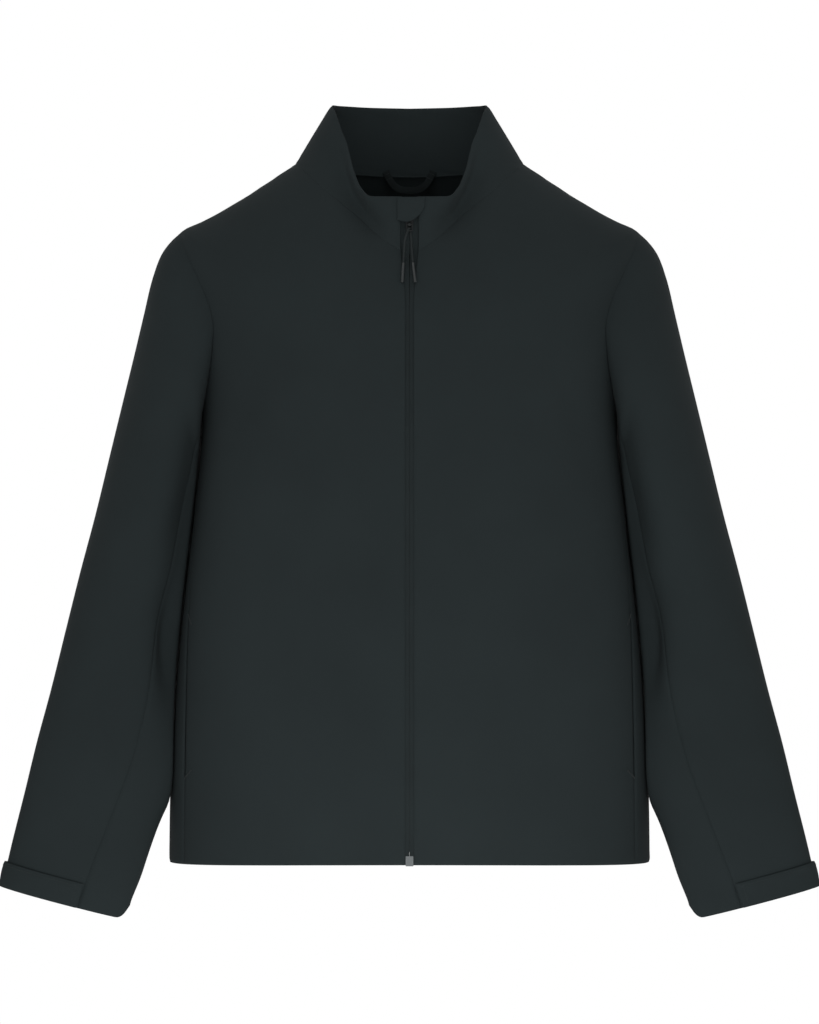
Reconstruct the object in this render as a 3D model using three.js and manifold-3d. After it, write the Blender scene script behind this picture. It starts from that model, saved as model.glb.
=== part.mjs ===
// Softshell jacket, zipped up and filled out with no wearer. Millimetres, +Z up, front toward -Y.
// The origin is at the height of the high point of the shoulders, on the middle line of the body.
import * as THREE from "three";
import Module from "manifold-3d";

const wasm = await Module();
wasm.setup();

// Cloth and seams
const CLOTH = 2.0; // bonded three-layer softshell cloth
const COLLAR_CLOTH = 2.6; // two layers of it, turned and pressed
const SEAM = 0.3; // clear space between two sewn edges
const LAY = 0.3; // clear space under a piece that lies on another

// How finely the pieces are divided
const SIDE_ROWS = 13; // from the hem to the underarm
const ARMHOLE_STEP = 15; // degrees round the armhole from one row to the next
const SHOULDER_ROWS = 6; // from the shoulder point to the neck seam
const FRONT_COLUMNS = 11;
const BACK_COLUMNS = 14; // in each half of the back
const UPPER_SLEEVE_COLUMNS = 19; // one for each armhole step
const UNDER_SLEEVE_COLUMNS = 10; // two for each armhole step
const SLEEVE_ROWS = 24;
const COLLAR_COLUMNS = 22; // in each half of the collar
const COLLAR_ROWS = 4;
const RING_STEPS = 240; // fine steps along a ring when it is measured

// Body rings, hem to neck seam. at: place along the body; halfWidth: middle line to side; midY: depth of the
// side point; frontDepth, backDepth: from there to front and back; zFront, zSide, zBack: heights; square: how
// square the ring is; frontLift, backLift: how late the ring rises on its way from the middle to the side.
const BODY_RINGS = table(
  ["at", "halfWidth", "midY", "frontDepth", "backDepth", "zFront", "zSide", "zBack", "square", "frontLift", "backLift"],
  [
    [0.0, 240, -2, 110, 106, -690.5, -695.5, -695.5, 2.3, 2.2, 2.0],
    [0.8, 238.5, -2, 111, 105, -612, -614, -614, 2.3, 2.2, 2.0],
    [1.6, 233, -2, 112, 102, -530, -530, -530, 2.35, 2.2, 2.0],
    [2.4, 225, -2, 112, 99, -444, -440, -438, 2.4, 2.2, 2.0],
    [3.2, 214, -2, 113, 101, -352, -342, -336, 2.4, 2.2, 2.0],
    [4.0, 207, -2, 115, 108, -270, -250, -240, 2.4, 2.2, 2.0],
    [4.8, 220, -2, 112, 112, -207, -157, -162, 2.35, 2.15, 2.0],
    [5.6, 226.5, -2, 106, 99, -153, -66.5, -92, 2.25, 1.9, 1.9],
    [5.8, 208, -1.5, 104, 93.5, -142, -57.5, -79, 2.2, 1.8, 1.9],
    [6.2, 171.5, 1, 100, 80, -120, -37, -48, 2.1, 1.5, 1.9],
    [6.7, 114, 5, 93.5, 52, -95.5, 1, -7, 2.0, 1.25, 1.8],
  ],
);
const AT_UNDERARM = 4.0;
const AT_SHOULDER = 5.6;
const AT_NECK = 6.7;

// The armhole is an oval seen from the side, cut through the body
const ARMHOLE_Y = -2;
const ARMHOLE_HALF_WIDTH = 64;
const ARMHOLE_TOP = -66.5;
const ARMHOLE_BOTTOM = -250;

// Side-front seam: depth of the seam line at each height; it meets the lowest point of the armhole
const SIDE_SEAM = table(
  ["at", "y"],
  [
    [0, -50.5],
    [0.8, -50],
    [1.6, -46],
    [2.4, -37],
    [3.2, -24],
    [4.0, -2],
  ],
);
const POCKET_TOP_AT = 2.36; // the pocket mouth lies in the side-front seam
const POCKET_BOTTOM_AT = 0.82;
const POCKET_MOUTH = 1.4; // how far its two edges stand apart
const POCKET_FACING_LAY = 0.6; // clear space between the cloth and the facing behind it

// Zip opening: half the space between the two fronts at each height
const ZIP_OPENING = table(
  ["z", "half"],
  [
    [-700, 4.3],
    [-175, 4.3],
    [-155, 4.3],
    [-135, 4.6],
    [-112, 6.5],
    [-92, 8.6],
    [-55, 8.6],
    [-30, 7.0],
  ],
);
const TAPE_WIDTH = 16;
const TAPE_THICK = 1.0;
const TAPE_LAY = 0.5; // clear space between the cloth and the tape behind it
const TAPE_GAP = 0.2; // half the space between the two tapes
const TAPE_COLUMNS = 3;
const TAPE_TOP_Z = -54;

// Collar top edge, front middle to back middle. share: part of the edge's length from front to back
const COLLAR_TOP = table(
  ["share", "x", "y", "z"],
  [
    [0.0, 0, -88, -38],
    [0.1, 27, -86.5, -38],
    [0.15, 41.5, -82, -37],
    [0.21, 50, -71, -28],
    [0.28, 57, -58, -9],
    [0.4, 65, -38, 23],
    [0.53, 75, -12, 52],
    [0.62, 78.5, 8, 60.5],
    [0.72, 70, 33, 62.5],
    [0.84, 42, 52, 62.5],
    [1.0, 0, 58, 62],
  ],
);
const COLLAR_BULGE = 0.5; // how far the collar rounds outward halfway up
const COLLAR_SIDE_SHARE = 0.6; // share of the neck seam from the front middle to the shoulder

// Sleeve rings from the armhole to the cuff. outX, outZ: outer edge; inX, inZ: inner edge; midY: depth of both
// edges; frontDepth, backDepth: half depths; square: how square the ring is; frontSeam, backSeam: angles of the
// two seams, counted from the outer edge toward the front.
const SLEEVE_RINGS = table(
  ["at", "outX", "outZ", "inX", "inZ", "midY", "frontDepth", "backDepth", "square", "frontSeam", "backSeam"],
  [
    [0.0, 226.5, -66.5, 206.5, -250, -2, 64, 64, 2.1, 150, -135],
    [0.6, 237, -76, 206.8, -260, -2, 67, 66, 2.1, 150, -135],
    [1.2, 246.5, -88.5, 207.2, -270, -2, 69, 68, 2.1, 149.5, -135],
    [2.0, 256, -113, 207, -283, -1, 71, 70, 2.1, 149, -134.5],
    [3.0, 265, -149, 207, -300, 1, 71, 71, 2.1, 147, -133.5],
    [4.0, 275, -190, 205.2, -320, 3, 70, 71, 2.1, 144, -132],
    [5.0, 286.5, -236, 205, -346, 5, 68, 69, 2.1, 140, -128],
    [6.0, 299.5, -289, 207, -376, 6, 65, 65, 2.1, 136, -124],
    [7.0, 314, -349, 211, -411, 5, 60, 60, 2.15, 131, -119],
    [8.0, 329.5, -408, 215.5, -449, 2, 53, 53, 2.15, 126, -114],
    [9.0, 343.7, -466, 219.5, -497, -2, 46, 45, 2.2, 120, -109],
    [10.0, 357.5, -524, 224, -556, -10, 39, 37, 2.2, 114, -104],
    [11.0, 370.3, -575, 232.5, -608, -23, 33, 30, 2.2, 110, -100],
    [12.0, 382, -626, 250, -659, -32, 27, 25, 2.2, 107, -97],
    [13.0, 394, -676, 266, -709, -39, 23, 21, 2.2, 103, -95],
    [14.0, 403, -717, 277.5, -750, -43, 20, 18, 2.2, 100, -93],
  ],
);
const AT_CUFF = 14.0;
const SLEEVE_FIT = 5.0; // rings over which the armhole's own shape fades into the plain rings
const SLEEVE_CLEAR = 2.0; // clear space between sleeve and body
const SLEEVE_PARTING = 0.7; // rings over which that space opens
const SLEEVE_SOFT = 3; // how softly the sleeve is pressed flat there
const CUFF_CORNER_RISE = 11; // the hem's inner corner is rounded upward

// Soft folds of the sleeve. at: place along it; angle: place round it; depth: negative is a trough; length,
// spread: size along and round the sleeve in rings and degrees; turn: degrees it moves round per ring.
const SLEEVE_FOLDS = rows(
  ["at", "angle", "depth", "length", "spread", "turn"],
  [
    [4.2, 95, -3.0, 2.2, 20, -14],
    [6.3, 120, -2.4, 1.5, 18, -16],
    [8.6, 100, -2.2, 1.2, 24, -26],
    [9.4, -95, -3.0, 1.4, 26, 24],
    [7.6, -120, -2.6, 1.4, 22, 20],
    [5.0, -90, -2.6, 2.0, 20, 14],
    [5.8, 140, -10.0, 3.4, 26, 0],
    [9.2, 146, -6.0, 1.1, 18, 20],
  ],
);
// Soft folds of the body, in millimetres across it and along it; depth: negative is a trough
const BODY_FOLDS = rows(
  ["x", "z", "front", "depth", "width", "height", "slant"],
  [
    [168, -265, 1, -3.0, 16, 70, -0.35],
    [150, -470, 1, -2.0, 26, 110, 0.12],
    [0, -124, 1, -2.6, 15, 14, 0],
    [165, -255, 0, -3.5, 18, 75, -0.3],
    [95, -330, 0, -3.0, 22, 120, -0.12],
    [40, -560, 0, -2.0, 34, 110, 0.1],
  ],
);

// Valley that the stand collar pushes into the chest. It starts on the collar's side, runs down to the neck
// seam and along it to the zip. x and z are as seen from the front, depth in millimetres
const VALLEY = rows(
  ["x", "z", "depth"],
  [
    [73, 28, 0],
    [74.5, 8, 4.5],
    [72, -14, 7.5],
    [65, -33, 8.5],
    [53, -50, 8.0],
    [40, -62, 6.0],
    [30, -70, 3.0],
    [22.5, -75.5, 0],
  ],
);
const VALLEY_WIDTH = 10.5;
const VALLEY_LOWEST_Z = -110;
const VALLEY_LAST_Y = 10; // none of it lies further back

// Cuff tab: lies on the sleeve's outer half from the front seam to the back
const TAB_HEIGHT_AT = 0.6; // in sleeve rings
const TAB_THICK = 2.4;
const TAB_STAND = 1.2; // extra space under it at the sleeve's outer edge
const TAB_COLUMNS = 16;
const TAB_ROWS = 2;

// Zip garage on the collar's front edge
const GARAGE_LEFT = -12;
const GARAGE_RIGHT = 15;
const GARAGE_BOTTOM_Z = -63;
const GARAGE_CORNER_Z = -45;
const GARAGE_THICK = 1.8;
const GARAGE_COLUMNS = 12;

// Hanger loop inside the back neck
const LOOP_HALF_SPAN = 24;
const LOOP_SAG_Z = -25;
const LOOP_TOP_Z = -2;
const LOOP_FORWARD = 3; // how far its middle hangs forward of the neck seam
const LOOP_SEAT_UP = 0.08; // part of the collar's height at which its ends are sewn
const LOOP_WIDTH = 7;
const LOOP_THICK = 1.5;
const LOOP_STEPS = 22;

// Zip slider, pull ring and pull cord; heights are outward from the collar's front face
const SLIDER_HALF_WIDTH = 4.8;
const SLIDER_TOP_Z = -51;
const SLIDER_BOTTOM_Z = -70;
const SLIDER_NOSE = 2.4;
const SLIDER_PLATE = 1.4;
const BRIDGE_HALF_WIDTH = 1.5;
const BRIDGE_HALF_HEIGHT = 2.1;
const BRIDGE_BAR = 1.0;
const HINGE_Z = -66.2;
const HINGE_OUT = 2.8; // outward from the collar's front face
const RING_BAR = 1.2;
const RING_HALF_WIDTH = 3.4;
const RING_LENGTH = 7.0;
const CORD_RADIUS = 1.1;
const TIP_RADIUS = 1.45;
const TIP_LENGTH = 20;
const CORD_STEPS = 40;

// Bottom box of the zip
const BOX_HALF_WIDTH = 3.9;
const BOX_HEIGHT = 10;

function rows(names, values) {
  return values.map((row) => Object.fromEntries(names.map((name, i) => [name, row[i]])));
}

// A table read by its first column: read(key, name) follows a smooth curve through the rows
function table(names, values) {
  const list = rows(names, values);
  const key = names[0];
  const last = list.length - 1;
  function slope(i, name) {
    const stepBefore = list[i][key] - list[i - 1][key];
    const stepAfter = list[i + 1][key] - list[i][key];
    const before = (list[i][name] - list[i - 1][name]) / stepBefore;
    const after = (list[i + 1][name] - list[i][name]) / stepAfter;
    return (before * stepAfter + after * stepBefore) / (stepBefore + stepAfter);
  }
  function endSlope(i, name) {
    const j = i === 0 ? 1 : last - 1;
    return (list[j][name] - list[i][name]) / (list[j][key] - list[i][key]);
  }
  return function read(at, name) {
    const k = Math.min(Math.max(at, list[0][key]), list[last][key]);
    let i = 0;
    while (i < last - 1 && k > list[i + 1][key]) i += 1;
    const span = list[i + 1][key] - list[i][key];
    const t = (k - list[i][key]) / span;
    const m0 = (i === 0 ? endSlope(0, name) : slope(i, name)) * span;
    const m1 = (i + 1 === last ? endSlope(last, name) : slope(i + 1, name)) * span;
    const t2 = t * t;
    const t3 = t2 * t;
    return (
      (2 * t3 - 3 * t2 + 1) * list[i][name] +
      (t3 - 2 * t2 + t) * m0 +
      (3 * t2 - 2 * t3) * list[i + 1][name] +
      (t3 - t2) * m1
    );
  };
}

const vec = (x, y, z) => new THREE.Vector3(x, y, z);
const smooth = (t) => {
  const u = Math.min(Math.max(t, 0), 1);
  return u * u * (3 - 2 * u);
};
const bell = (d) => Math.exp(-d * d);

// Halves the interval until f changes sign at the answer
function solve(f, low, high) {
  let a = low;
  let b = high;
  const fa = f(a);
  for (let i = 0; i < 44; i += 1) {
    const m = (a + b) / 2;
    if (f(m) > 0 === fa > 0) a = m;
    else b = m;
  }
  return (a + b) / 2;
}

// Body surface without the valley. turn: 0 front middle, 0.5 side, 1 back middle, on the +X half
function bodyRing(at, turn) {
  const front = turn < 0.5;
  const angle = turn * Math.PI;
  const power = 2 / BODY_RINGS(at, "square");
  const across = Math.pow(Math.max(Math.sin(angle), 0), power);
  const along = Math.pow(Math.abs(Math.cos(angle)), power);
  const lift = Math.pow(across, BODY_RINGS(at, front ? "frontLift" : "backLift"));
  const zEnd = BODY_RINGS(at, front ? "zFront" : "zBack");
  const depth = BODY_RINGS(at, front ? "frontDepth" : "backDepth");
  const x = BODY_RINGS(at, "halfWidth") * across;
  const z = zEnd + (BODY_RINGS(at, "zSide") - zEnd) * lift;
  const fold = bodyFold(x, z, front) * smooth((along - 0.3) / 0.4);
  const y = BODY_RINGS(at, "midY") + (front ? -1 : 1) * (depth + fold) * along;
  return vec(x, y, z);
}

const bodyPoint = (at, turn) => sinkValley(bodyRing(at, turn));

// Moves a point of the front into the valley: a bell across its line, as deep as the line's nearest part
function sinkValley(point) {
  if (point.z < VALLEY_LOWEST_Z || point.y > VALLEY_LAST_Y) return point;
  let gap = Infinity;
  let depth = 0;
  for (let i = 0; i + 1 < VALLEY.length; i += 1) {
    const a = VALLEY[i];
    const b = VALLEY[i + 1];
    const [dx, dz] = [b.x - a.x, b.z - a.z];
    const part = ((Math.abs(point.x) - a.x) * dx + (point.z - a.z) * dz) / (dx * dx + dz * dz);
    const t = Math.min(Math.max(part, 0), 1);
    const reach = Math.hypot(Math.abs(point.x) - a.x - t * dx, point.z - a.z - t * dz);
    if (reach >= gap) continue;
    gap = reach;
    depth = a.depth + t * (b.depth - a.depth);
  }
  const sunk = depth * bell(gap / VALLEY_WIDTH) * smooth((VALLEY_LAST_Y - point.y) / 30);
  const inward = vec(-point.x, VALLEY_LAST_Y - point.y, 0).normalize();
  return point.addScaledVector(inward, sunk);
}

function bodyFold(x, z, front) {
  let sum = 0;
  for (const f of BODY_FOLDS) {
    if ((f.front === 1) !== front) continue;
    const dz = z - f.z;
    sum += f.depth * bell((x - f.x - f.slant * dz) / f.width) * bell(dz / f.height);
  }
  return sum;
}

// Outward direction of a surface from two neighbouring points each way
function outward(surface, a, b, stepA, stepB, sign) {
  const da = surface(a + stepA, b).sub(surface(a - stepA, b));
  const db = surface(a, b + stepB).sub(surface(a, b - stepB));
  return da.cross(db).multiplyScalar(sign).normalize();
}

function bodyNormal(at, turn) {
  const a = Math.min(Math.max(at, 0.02), AT_NECK - 0.02);
  const t = Math.min(Math.max(turn, 0.004), 0.996);
  return outward(bodyPoint, a, t, 0.02, 0.004, -1);
}

// The turn where the ring crosses the armhole's oval, in front or behind
function armholeTurn(at, front) {
  const midZ = (ARMHOLE_TOP + ARMHOLE_BOTTOM) / 2;
  const halfHeight = (ARMHOLE_TOP - ARMHOLE_BOTTOM) / 2;
  const inside = (turn) => {
    const p = bodyPoint(at, turn);
    return Math.hypot((p.y - ARMHOLE_Y) / ARMHOLE_HALF_WIDTH, (p.z - midZ) / halfHeight) - 1;
  };
  return front ? solve(inside, 0.03, 0.4999) : solve(inside, 0.97, 0.5001);
}

// The turn where the ring crosses the side-front seam
function seamTurn(at) {
  const y = SIDE_SEAM(at, "y");
  return solve((turn) => bodyPoint(at, turn).y - y, 0.1, 0.5);
}

// The turn where the ring is at distance x from the middle line, on the front
function frontTurnAt(at, x) {
  return solve((turn) => bodyPoint(at, turn).x - x, 0, 0.5);
}

// Points spaced evenly along a ring between two turns, as turns
function evenTurns(at, from, to, columns) {
  const steps = RING_STEPS;
  const lengths = [0];
  let before = bodyPoint(at, from);
  for (let i = 1; i <= steps; i += 1) {
    const point = bodyPoint(at, from + ((to - from) * i) / steps);
    lengths.push(lengths[i - 1] + point.distanceTo(before));
    before = point;
  }
  const turns = [];
  let k = 0;
  for (let j = 0; j <= columns; j += 1) {
    const goal = (lengths[steps] * j) / columns;
    while (k < steps - 1 && lengths[k + 1] < goal) k += 1;
    const part = (goal - lengths[k]) / Math.max(lengths[k + 1] - lengths[k], 1e-9);
    turns.push(from + ((to - from) * (k + Math.min(Math.max(part, 0), 1))) / steps);
  }
  return turns;
}

// Where a place on the armhole's edge lies on the body. angle: 0 shoulder point, 90 front, 180 underarm
function armholePlace(angle) {
  const turned = ((angle % 360) + 360) % 360;
  if (turned < 0.5 || turned > 359.5) return { at: AT_SHOULDER, turn: 0.5 };
  if (Math.abs(turned - 180) < 0.5) return { at: AT_UNDERARM, turn: 0.5 };
  const front = turned < 180;
  const halfHeight = (ARMHOLE_TOP - ARMHOLE_BOTTOM) / 2;
  const z = (ARMHOLE_TOP + ARMHOLE_BOTTOM) / 2 + halfHeight * Math.cos((turned * Math.PI) / 180);
  const at = solve(
    (a) => bodyPoint(a, armholeTurn(a, front)).z - z,
    AT_UNDERARM + 1e-4,
    AT_SHOULDER - 1e-4,
  );
  return { at, turn: armholeTurn(at, front) };
}

// Places of the rows along a panel's side; beside the armhole they follow equal steps round its oval.
// sense: 1 for the front of the armhole, -1 for the back
function panelRows(sense) {
  const list = [];
  for (let i = 0; i < SIDE_ROWS; i += 1) {
    const at = (AT_UNDERARM * i) / SIDE_ROWS;
    list.push({ at, edge: seamTurn(at) });
  }
  for (let angle = 180; angle > 0; angle -= ARMHOLE_STEP) {
    const place = armholePlace(sense * angle);
    list.push({ at: place.at, edge: place.turn, angle: sense * angle });
  }
  for (let i = 0; i <= SHOULDER_ROWS; i += 1) {
    const at = AT_SHOULDER + ((AT_NECK - AT_SHOULDER) * i) / SHOULDER_ROWS;
    list.push(i === 0 ? { at, edge: 0.5, angle: 0 } : { at, edge: 0.5 });
  }
  return list;
}

// One cell of a panel: a point and the direction the cloth faces there
const bodyCell = (at, turn) => ({ point: bodyPoint(at, turn), normal: bodyNormal(at, turn) });

// Moves a cell's point within the cloth, away from a seam it shares
function drawBack(cell, toward, distance) {
  const way = toward.point.clone().sub(cell.point);
  way.addScaledVector(cell.normal, -way.dot(cell.normal)).normalize();
  cell.point.addScaledVector(way, distance);
}

// Moves chosen borders of a grid of cells back from their seams
function drawBackBorders(grid, { first = 0, last = 0, left = 0, right = 0 }) {
  const rowEnd = grid.length - 1;
  const columnEnd = grid[0].length - 1;
  const moved = [];
  const move = (i, j, i2, j2, distance) => {
    if (distance > 0) moved.push([grid[i][j], { point: grid[i2][j2].point.clone() }, distance]);
  };
  for (let j = 0; j <= columnEnd; j += 1) {
    move(0, j, 1, j, first);
    move(rowEnd, j, rowEnd - 1, j, last);
  }
  for (let i = 0; i <= rowEnd; i += 1) {
    const edgeLeft = typeof left === "function" ? left(i) : left;
    const edgeRight = typeof right === "function" ? right(i) : right;
    move(i, 0, i, 1, edgeLeft);
    move(i, columnEnd, i, columnEnd - 1, edgeRight);
  }
  for (const [cell, toward, distance] of moved) drawBack(cell, toward, distance);
  return grid;
}

const mirrored = (grid) =>
  grid.map((row) =>
    row.map((cell) => ({
      point: cell.point.clone().setX(-cell.point.x),
      normal: cell.normal.clone().setX(-cell.normal.x),
    })),
  );

// Closed wall from a grid of cells: outer face moved out by lift, inner face one thickness further in
function wall(grid, thickness, lift = 0) {
  const rowCount = grid.length;
  const columnCount = grid[0].length;
  const positions = [];
  const liftAt = (i, j) => (typeof lift === "function" ? lift(i, j) : lift);
  for (const depth of [0, thickness]) {
    grid.forEach((row, i) =>
      row.forEach((cell, j) => {
        const p = cell.point.clone().addScaledVector(cell.normal, liftAt(i, j) - depth);
        positions.push(p.x, p.y, p.z);
      }),
    );
  }
  const id = (side, i, j) => (side * rowCount + i) * columnCount + j;
  const index = [];
  const quad = (a, b, c, d) => index.push(a, b, c, a, c, d);
  for (let i = 0; i + 1 < rowCount; i += 1) {
    for (let j = 0; j + 1 < columnCount; j += 1) {
      quad(id(0, i, j), id(0, i, j + 1), id(0, i + 1, j + 1), id(0, i + 1, j));
      quad(id(1, i, j), id(1, i + 1, j), id(1, i + 1, j + 1), id(1, i, j + 1));
    }
  }
  for (let j = 0; j + 1 < columnCount; j += 1) {
    const end = rowCount - 1;
    quad(id(0, 0, j), id(1, 0, j), id(1, 0, j + 1), id(0, 0, j + 1));
    quad(id(0, end, j), id(0, end, j + 1), id(1, end, j + 1), id(1, end, j));
  }
  for (let i = 0; i + 1 < rowCount; i += 1) {
    const end = columnCount - 1;
    quad(id(0, i, 0), id(0, i + 1, 0), id(1, i + 1, 0), id(1, i, 0));
    quad(id(0, i, end), id(1, i, end), id(1, i + 1, end), id(0, i + 1, end));
  }
  return facingOut(positions, index);
}

// Turns the faces round when the closed body is inside out
function facingOut(positions, index) {
  let volume = 0;
  const corner = (k) => vec(positions[3 * k], positions[3 * k + 1], positions[3 * k + 2]);
  for (let t = 0; t < index.length; t += 3) {
    const [a, b, c] = [index[t], index[t + 1], index[t + 2]].map(corner);
    volume += a.dot(b.cross(c));
  }
  if (volume < 0) {
    for (let t = 0; t < index.length; t += 3) [index[t + 1], index[t + 2]] = [index[t + 2], index[t + 1]];
  }
  const geometry = new THREE.BufferGeometry();
  geometry.setAttribute("position", new THREE.Float32BufferAttribute(positions, 3));
  geometry.setIndex(index);
  geometry.computeVertexNormals();
  return geometry;
}

// Body panels
const halfOpening = (z) => ZIP_OPENING(z, "half");

function zipTurn(at) {
  let x = 4.3;
  for (let i = 0; i < 4; i += 1) x = halfOpening(bodyPoint(at, frontTurnAt(at, x)).z);
  return frontTurnAt(at, x);
}

const isPocket = (at) => at > POCKET_BOTTOM_AT && at < POCKET_TOP_AT;

// Draws a panel's side edge back from the seams along it, and gives the armhole edge its cut direction
function finishSide(grid, places) {
  const last = grid[0].length - 1;
  drawBackBorders(grid, {
    right: (i) => {
      const { at, angle } = places[i];
      const beside = angle !== undefined && Math.abs(angle) > 1 && Math.abs(angle) < 179;
      if (beside) return 0;
      return at < AT_UNDERARM && isPocket(at) ? POCKET_MOUTH / 2 : SEAM / 2;
    },
  });
  places.forEach(({ angle }, i) => {
    if (angle === undefined) return;
    const cell = grid[i][last];
    const seam = armholeSeam(angle);
    cell.point.addScaledVector(seam.away, SEAM / 2);
    cell.normal.copy(seam.bodyCut);
  });
  return grid;
}

function frontGrid() {
  const places = panelRows(1);
  const grid = places.map(({ at, edge }) =>
    evenTurns(at, zipTurn(at), edge, FRONT_COLUMNS).map((turn) => bodyCell(at, turn)),
  );
  finishSide(grid, places);
  return drawBackBorders(grid, { last: SEAM / 2 });
}

function backGrid() {
  const places = panelRows(-1);
  const half = places.map(({ at, edge }) =>
    evenTurns(at, 1, edge, BACK_COLUMNS).map((turn) => bodyCell(at, turn)),
  );
  finishSide(half, places);
  const other = mirrored(half);
  const grid = half.map((row, i) => [...other[i].slice(1).reverse(), ...row]);
  grid.forEach((row) => row[BACK_COLUMNS].normal.setX(0).normalize());
  return drawBackBorders(grid, { last: SEAM / 2 });
}

// Armhole loop as the sleeve sees it: angle 0 at the shoulder point, 90 in front, 180 at the underarm
function armholePoint(angle) {
  const { at, turn } = armholePlace(angle);
  return { point: bodyPoint(at, turn), normal: bodyNormal(at, turn) };
}

// The seam between body and sleeve: the way from it into the body's cloth, the way into the sleeve's cloth,
// and the direction in which each edge is cut. Cloth that meets as a ridge shares one cut direction.
function armholeSeam(angle) {
  const { point, normal } = armholePoint(angle);
  const midZ = (ARMHOLE_TOP + ARMHOLE_BOTTOM) / 2;
  const halfHeight = (ARMHOLE_TOP - ARMHOLE_BOTTOM) / 2;
  const away = vec(
    0,
    (point.y - ARMHOLE_Y) / (ARMHOLE_HALF_WIDTH * ARMHOLE_HALF_WIDTH),
    (point.z - midZ) / (halfHeight * halfHeight),
  );
  away.addScaledVector(normal, -away.dot(normal)).normalize();
  const along = sleevePoint(0.25, angle).sub(point).normalize();
  const sleeve = sleeveNormal(0, angle);
  const ridge = along.dot(normal) < 0;
  const shared = normal.clone().add(sleeve).normalize();
  const onward = along.clone().addScaledVector(away, -Math.max(along.dot(away), 0));
  onward.addScaledVector(normal, ridge ? 0 : 0.6).normalize();
  return {
    point,
    away,
    onward,
    bodyCut: ridge ? shared : normal,
    sleeveCut: ridge ? shared : sleeve,
  };
}

const ARMHOLE_LOOP = [];
for (let i = 0; i <= 180; i += 1) ARMHOLE_LOOP.push(armholePoint(i * 2));

function armholeAt(angle) {
  const place = ((((angle % 360) + 360) % 360) / 2) % 180;
  const i = Math.floor(place);
  const part = place - i;
  const a = ARMHOLE_LOOP[i];
  const b = ARMHOLE_LOOP[i + 1];
  return { point: a.point.clone().lerp(b.point, part), normal: a.normal.clone().lerp(b.normal, part).normalize() };
}

// Plain sleeve ring: a rounded oval through the outer and the inner edge
function sleeveRing(at, angle) {
  const radians = (angle * Math.PI) / 180;
  const power = 2 / SLEEVE_RINGS(at, "square");
  const c = Math.cos(radians);
  const s = Math.sin(radians);
  const wide = Math.sign(c) * Math.pow(Math.abs(c), power);
  const deep = Math.sign(s) * Math.pow(Math.abs(s), power);
  const out = vec(SLEEVE_RINGS(at, "outX"), 0, SLEEVE_RINGS(at, "outZ"));
  const inner = vec(SLEEVE_RINGS(at, "inX"), 0, SLEEVE_RINGS(at, "inZ"));
  const middle = out.clone().add(inner).multiplyScalar(0.5);
  const half = out.clone().sub(inner).multiplyScalar(0.5);
  const point = middle.addScaledVector(half, wide);
  const depth = SLEEVE_RINGS(at, s > 0 ? "frontDepth" : "backDepth");
  point.y = SLEEVE_RINGS(at, "midY") - depth * deep;
  const toCuff = smooth((at - AT_CUFF + 1.2) / 1.2);
  point.z += CUFF_CORNER_RISE * toCuff * Math.pow(Math.max(-wide - 0.8, 0) / 0.2, 2);
  return point;
}

function foldDepth(at, angle) {
  let sum = 0;
  for (const f of SLEEVE_FOLDS) {
    const along = at - f.at;
    const around = ((angle - f.angle - f.turn * along + 540) % 360) - 180;
    sum += f.depth * bell(along / f.length) * bell(around / f.spread);
  }
  return sum * smooth((at - 1.2) / 2) * smooth((AT_CUFF - 1 - at) / 2);
}

// The body's side as profiles: for each depth, half width against height, from the hem to the shoulder
const PROFILE_STEP = 4;
const PROFILE_REACH = 88;
const PROFILE_ROWS = 80;
const SIDE_PROFILES = [];
for (let y = -PROFILE_REACH; y <= PROFILE_REACH; y += PROFILE_STEP) {
  const profile = [];
  for (let i = 0; i <= PROFILE_ROWS; i += 1) {
    const at = (AT_SHOULDER * i) / PROFILE_ROWS;
    const front = y < BODY_RINGS(at, "midY");
    const turn = front
      ? solve((t) => bodyPoint(at, t).y - y, 0.02, 0.4999)
      : solve((t) => bodyPoint(at, t).y - y, 0.5001, 0.98);
    const p = bodyPoint(at, turn);
    profile.push({ z: p.z, x: p.x });
  }
  SIDE_PROFILES.push(profile);
}

function profileWidth(profile, z) {
  let i = 0;
  while (i < PROFILE_ROWS - 1 && z > profile[i + 1].z) i += 1;
  const part = (z - profile[i].z) / (profile[i + 1].z - profile[i].z);
  return profile[i].x + (profile[i + 1].x - profile[i].x) * Math.min(Math.max(part, 0), 1);
}

// Half width of the body at a height and depth
function bodyHalfWidthAt(z, y) {
  const place = (Math.min(Math.max(y, -PROFILE_REACH), PROFILE_REACH - 0.01) + PROFILE_REACH) / PROFILE_STEP;
  const i = Math.floor(place);
  const low = profileWidth(SIDE_PROFILES[i], z);
  return low + (profileWidth(SIDE_PROFILES[i + 1], z) - low) * (place - i);
}

// Sleeve surface: starts as the armhole loop, becomes plain rings, and stays clear of the body
function sleevePoint(at, angle) {
  const point = sleeveRing(at, angle);
  const fade = 1 - smooth(at / SLEEVE_FIT);
  if (fade > 0) {
    const loop = armholeAt(angle).point;
    point.add(loop.sub(sleeveRing(0, angle)).multiplyScalar(fade));
  }
  const middle = sleeveRing(at, 0).add(sleeveRing(at, 180)).multiplyScalar(0.5);
  const away = point.clone().sub(middle).normalize();
  point.addScaledVector(away, foldDepth(at, angle));
  const reach = smooth(at / SLEEVE_PARTING);
  if (reach > 0 && point.z < ARMHOLE_TOP - 20 && point.x < 262) {
    const limit = bodyHalfWidthAt(point.z, point.y) + SLEEVE_CLEAR * reach;
    const short = limit - point.x;
    const soft = SLEEVE_SOFT * reach;
    if (short > -soft) point.x += short > soft ? short : ((short + soft) * (short + soft)) / (4 * soft);
  }
  return point;
}

function sleeveNormal(at, angle) {
  const a = Math.min(Math.max(at, 0.06), AT_CUFF - 0.06);
  return outward(sleevePoint, a, angle, 0.05, 1.5, -1);
}

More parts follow.
